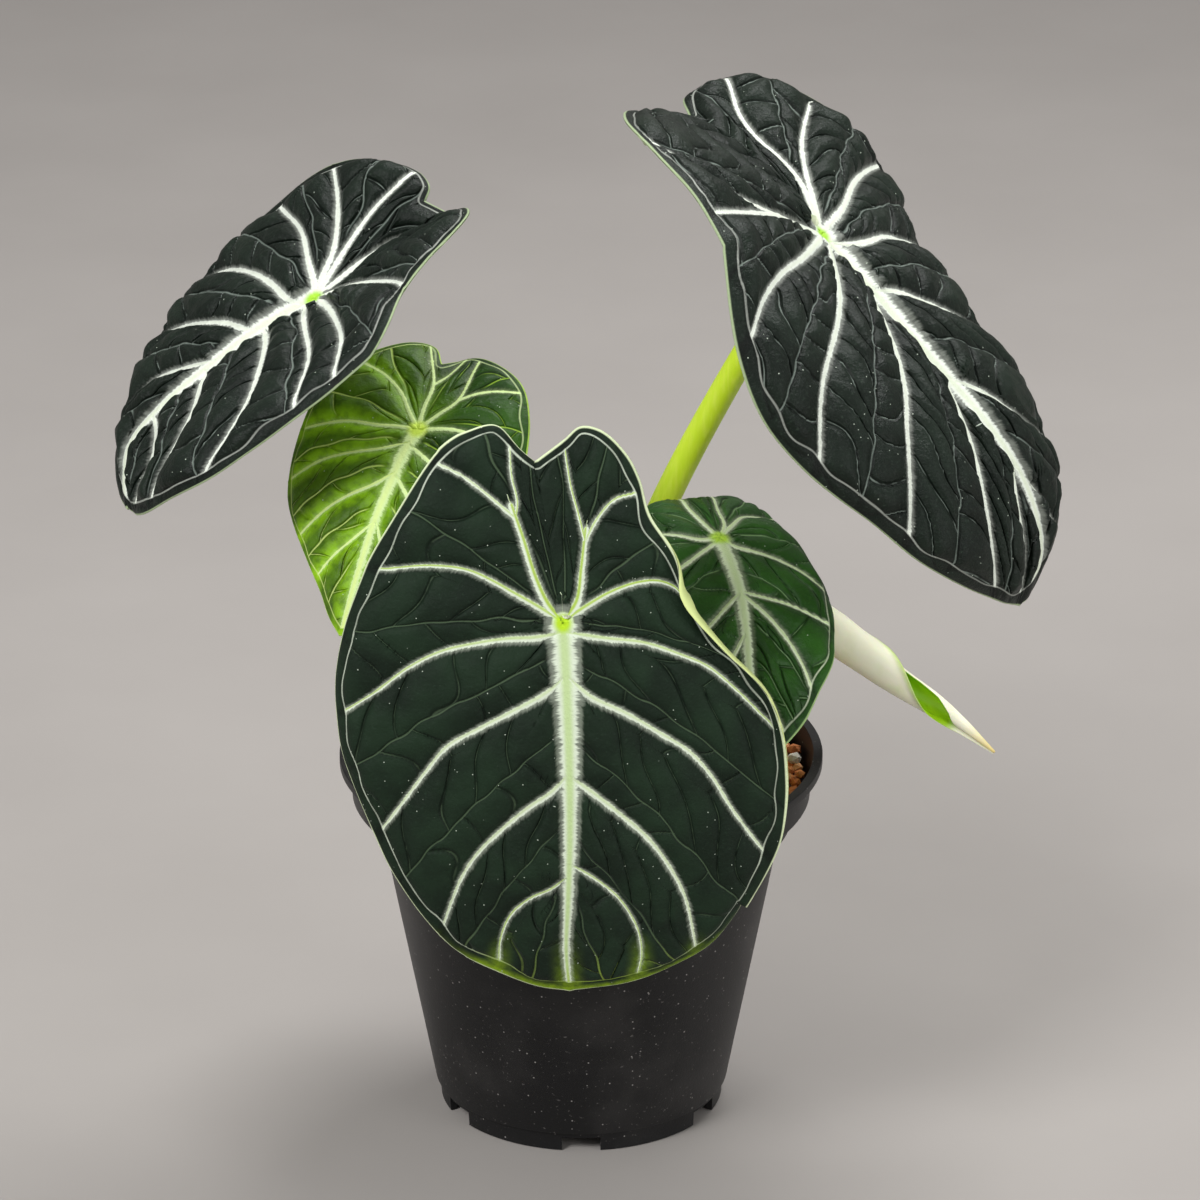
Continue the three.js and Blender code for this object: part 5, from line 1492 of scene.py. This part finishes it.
def addLump(points, faces, centre, radius, pick):
    base = len(points)
    stretch = Vector((pick.uniform(0.8, 1.2), pick.uniform(0.8, 1.2), pick.uniform(0.75, 1)))
    spin = pick.uniform(0, 6.28)
    for corner in lumpCorners:
        v = Vector(corner).normalized() * radius * pick.uniform(0.85, 1.12)
        v = v * stretch
        x = v.x * math.cos(spin) - v.y * math.sin(spin)
        y = v.x * math.sin(spin) + v.y * math.cos(spin)
        points.append((centre[0] + x, centre[1] + y, centre[2] + v.z))
    faces.extend(tuple(base + v for v in triangle) for triangle in lumpTriangles)


# One piece for each tone, out of lumps that are dropped at random where there is room.
def makeGranules():
    pick = random.Random(granules["seed"])
    lots = [([], []) for _ in granules["colours"]]
    stems = [(route[0][0], route[0][1], stalks["radii"][key][0] * 1.35 + 0.6)
             for key, route in stalks["routes"].items()]
    stems.append((0, 0, granules["stemGap"]))
    grid = {}
    placed = 0
    for _ in range(granules["tries"]):
        radius = pick.uniform(*granules["size"])
        angle, away = pick.uniform(0, 2 * math.pi), granules["reach"] * math.sqrt(pick.random())
        x, y = away * math.cos(angle), away * math.sin(angle)
        if any(math.hypot(x - sx, y - sy) < sr + radius for sx, sy, sr in stems):
            continue
        column, row = int(x // granules["cell"]), int(y // granules["cell"])
        around = [(column + i, row + j) for i in (-1, 0, 1) for j in (-1, 0, 1)]
        near = [other for place in around for other in grid.get(place, [])]
        if any(math.hypot(x - ox, y - oy) < granules["spacing"] * (radius + ro) for ox, oy, ro in near):
            continue
        grid.setdefault((column, row), []).append((x, y, radius))
        height = granules["top"] - radius * granules["sunk"]
        height += pick.uniform(-granules["uneven"], granules["uneven"])
        height += granules["heap"] * smoothStep((away - granules["heapFrom"]) / granules["heapOver"])
        points, faces = lots[pick.randrange(len(lots))]
        addLump(points, faces, (x, y, height), radius, pick)
        placed += 1
    print("granules:", placed)
    return [meshObject("granules_" + str(number), np.array(points) * mm, faces, False)
            for number, (points, faces) in enumerate(lots)]


def clayMaterial(name, colour):
    material, tree, shader = newMaterial(name)
    full = hexColour(colour)
    place = objectPlace(tree)
    grain = noiseAt(tree, place, 700, 4)
    tone = noiseAt(tree, place, 90, 2)
    base = mixed(tree, between(tree, tone, 0.3, 0.7), [c * 0.75 for c in full], full)
    base = mixed(tree, between(tree, grain, 0.55, 0.75, 0.0, 0.5), base, [c * 0.5 for c in full])
    setSurface(tree, shader, base, 0.9, bumpOf(tree, grain, 0.6, 0.0008))
    return material


for number, piece in enumerate(makeGranules()):
    piece.data.materials.append(clayMaterial("clay_" + str(number), granules["colours"][number]))
    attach(piece, "root")
# The bed's darker clay colour is painted shade in the gaps between the lumps.
below = makeTurned("granules_below", granules["below"], granules["belowSides"])
below.data.materials.append(clayMaterial("clay_below", granules["belowShadeColour"]))
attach(below, "root")
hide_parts("granule_bed")
pick = random.Random(granules["whiteSeed"])
for number, (x, y, radius) in enumerate(granules["whites"]):
    points, faces = [], []
    height = granules["top"] + radius * granules["whiteRaised"] + granules["heap"]
    addLump(points, faces, (x, y, height), radius, pick)
    piece = meshObject("white_lump_" + str(number + 1), np.array(points) * mm, faces, False)
    piece.data.materials.append(clayMaterial("white_clay_" + str(number), granules["white"]))
    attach(piece, "root")
    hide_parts("white_granule_" + str(number + 1))
print("granules made")

# The floor, which bends up into the wall behind in one sweep, the lights and the camera, in metres.
studio = {
    "bend": {"start": 2.6, "radius": 0.5, "steps": 12},
    "wallTop": 3.5,
    "halfWidth": 3.5,
    "belowPot": 0.0002,
    "floor": ["9b9692", "a6a19d"],
    "world": (0.62, 0.62, 0.62),
    "worldStrength": 0.76,
    "lights": {
        "front_box": {"place": (-0.9, -1.1, 1.3), "aim": (0, 0, 0.15), "size": (0.6, 0.6), "power": 22},
        "top_box": {"place": (0.35, 0.45, 1.2), "aim": (0, 0, 0.2), "size": (0.7, 0.5), "power": 12},
        "right_box": {"place": (1.2, -0.9, 0.35), "aim": (0, 0, 0.12), "size": (0.7, 0.7), "power": 7},
    },
    "target": (0.00587, 0, 0.1673),
    "elevation": 22.7,
    "distance": 2.0,
    "lens": 195,
    "sensor": 36,
}

bend = studio["bend"]
sweep = [(-4, 0), (-1, 0), (0, 0)]
for step in range(bend["steps"] + 1):
    angle = math.radians(90) * step / bend["steps"]
    out, up = bend["radius"] * math.sin(angle), bend["radius"] * math.cos(angle)
    sweep.append((bend["start"] + out, bend["radius"] - up))
sweep.append((bend["start"] + bend["radius"], studio["wallTop"]))
sides = (-studio["halfWidth"], studio["halfWidth"])
floorPoints = [(x, y, z - studio["belowPot"]) for y, z in sweep for x in sides]
floorFaces = [(2 * k, 2 * k + 1, 2 * k + 3, 2 * k + 2) for k in range(len(sweep) - 1)]
floor = meshObject("floor", floorPoints, floorFaces)
material, tree, shader = newMaterial("floor")
shade = noiseAt(tree, objectPlace(tree), 9, 5)
setSurface(tree, shader, mixed(tree, shade, *studio["floor"]), 0.85)
floor.data.materials.append(material)

world = bpy.data.worlds.new("studio")
bpy.context.scene.world = world
world.use_nodes = True
world.node_tree.nodes["Background"].inputs[0].default_value = (*studio["world"], 1)
world.node_tree.nodes["Background"].inputs[1].default_value = studio["worldStrength"]
bpy.context.scene.view_settings.view_transform = "Standard"

for name, box in studio["lights"].items():
    data = bpy.data.lights.new(name, "AREA")
    data.shape = "RECTANGLE"
    data.size, data.size_y = box["size"]
    data.energy = box["power"]
    lamp = bpy.data.objects.new(name, data)
    bpy.context.scene.collection.objects.link(lamp)
    lamp.location = box["place"]
    lamp.rotation_euler = (Vector(box["aim"]) - Vector(box["place"])).to_track_quat("-Z", "Y").to_euler()

cameraData = bpy.data.cameras.new("camera")
cameraData.lens = studio["lens"]
cameraData.sensor_width = studio["sensor"]
camera = bpy.data.objects.new("camera", cameraData)
bpy.context.scene.collection.objects.link(camera)
tilt = math.radians(studio["elevation"])
away = Vector((0, -math.cos(tilt), math.sin(tilt))) * studio["distance"]
camera.location = Vector(studio["target"]) + away
camera.rotation_euler = (-away).to_track_quat("-Z", "Y").to_euler()
bpy.context.scene.camera = camera
bpy.context.view_layer.update()
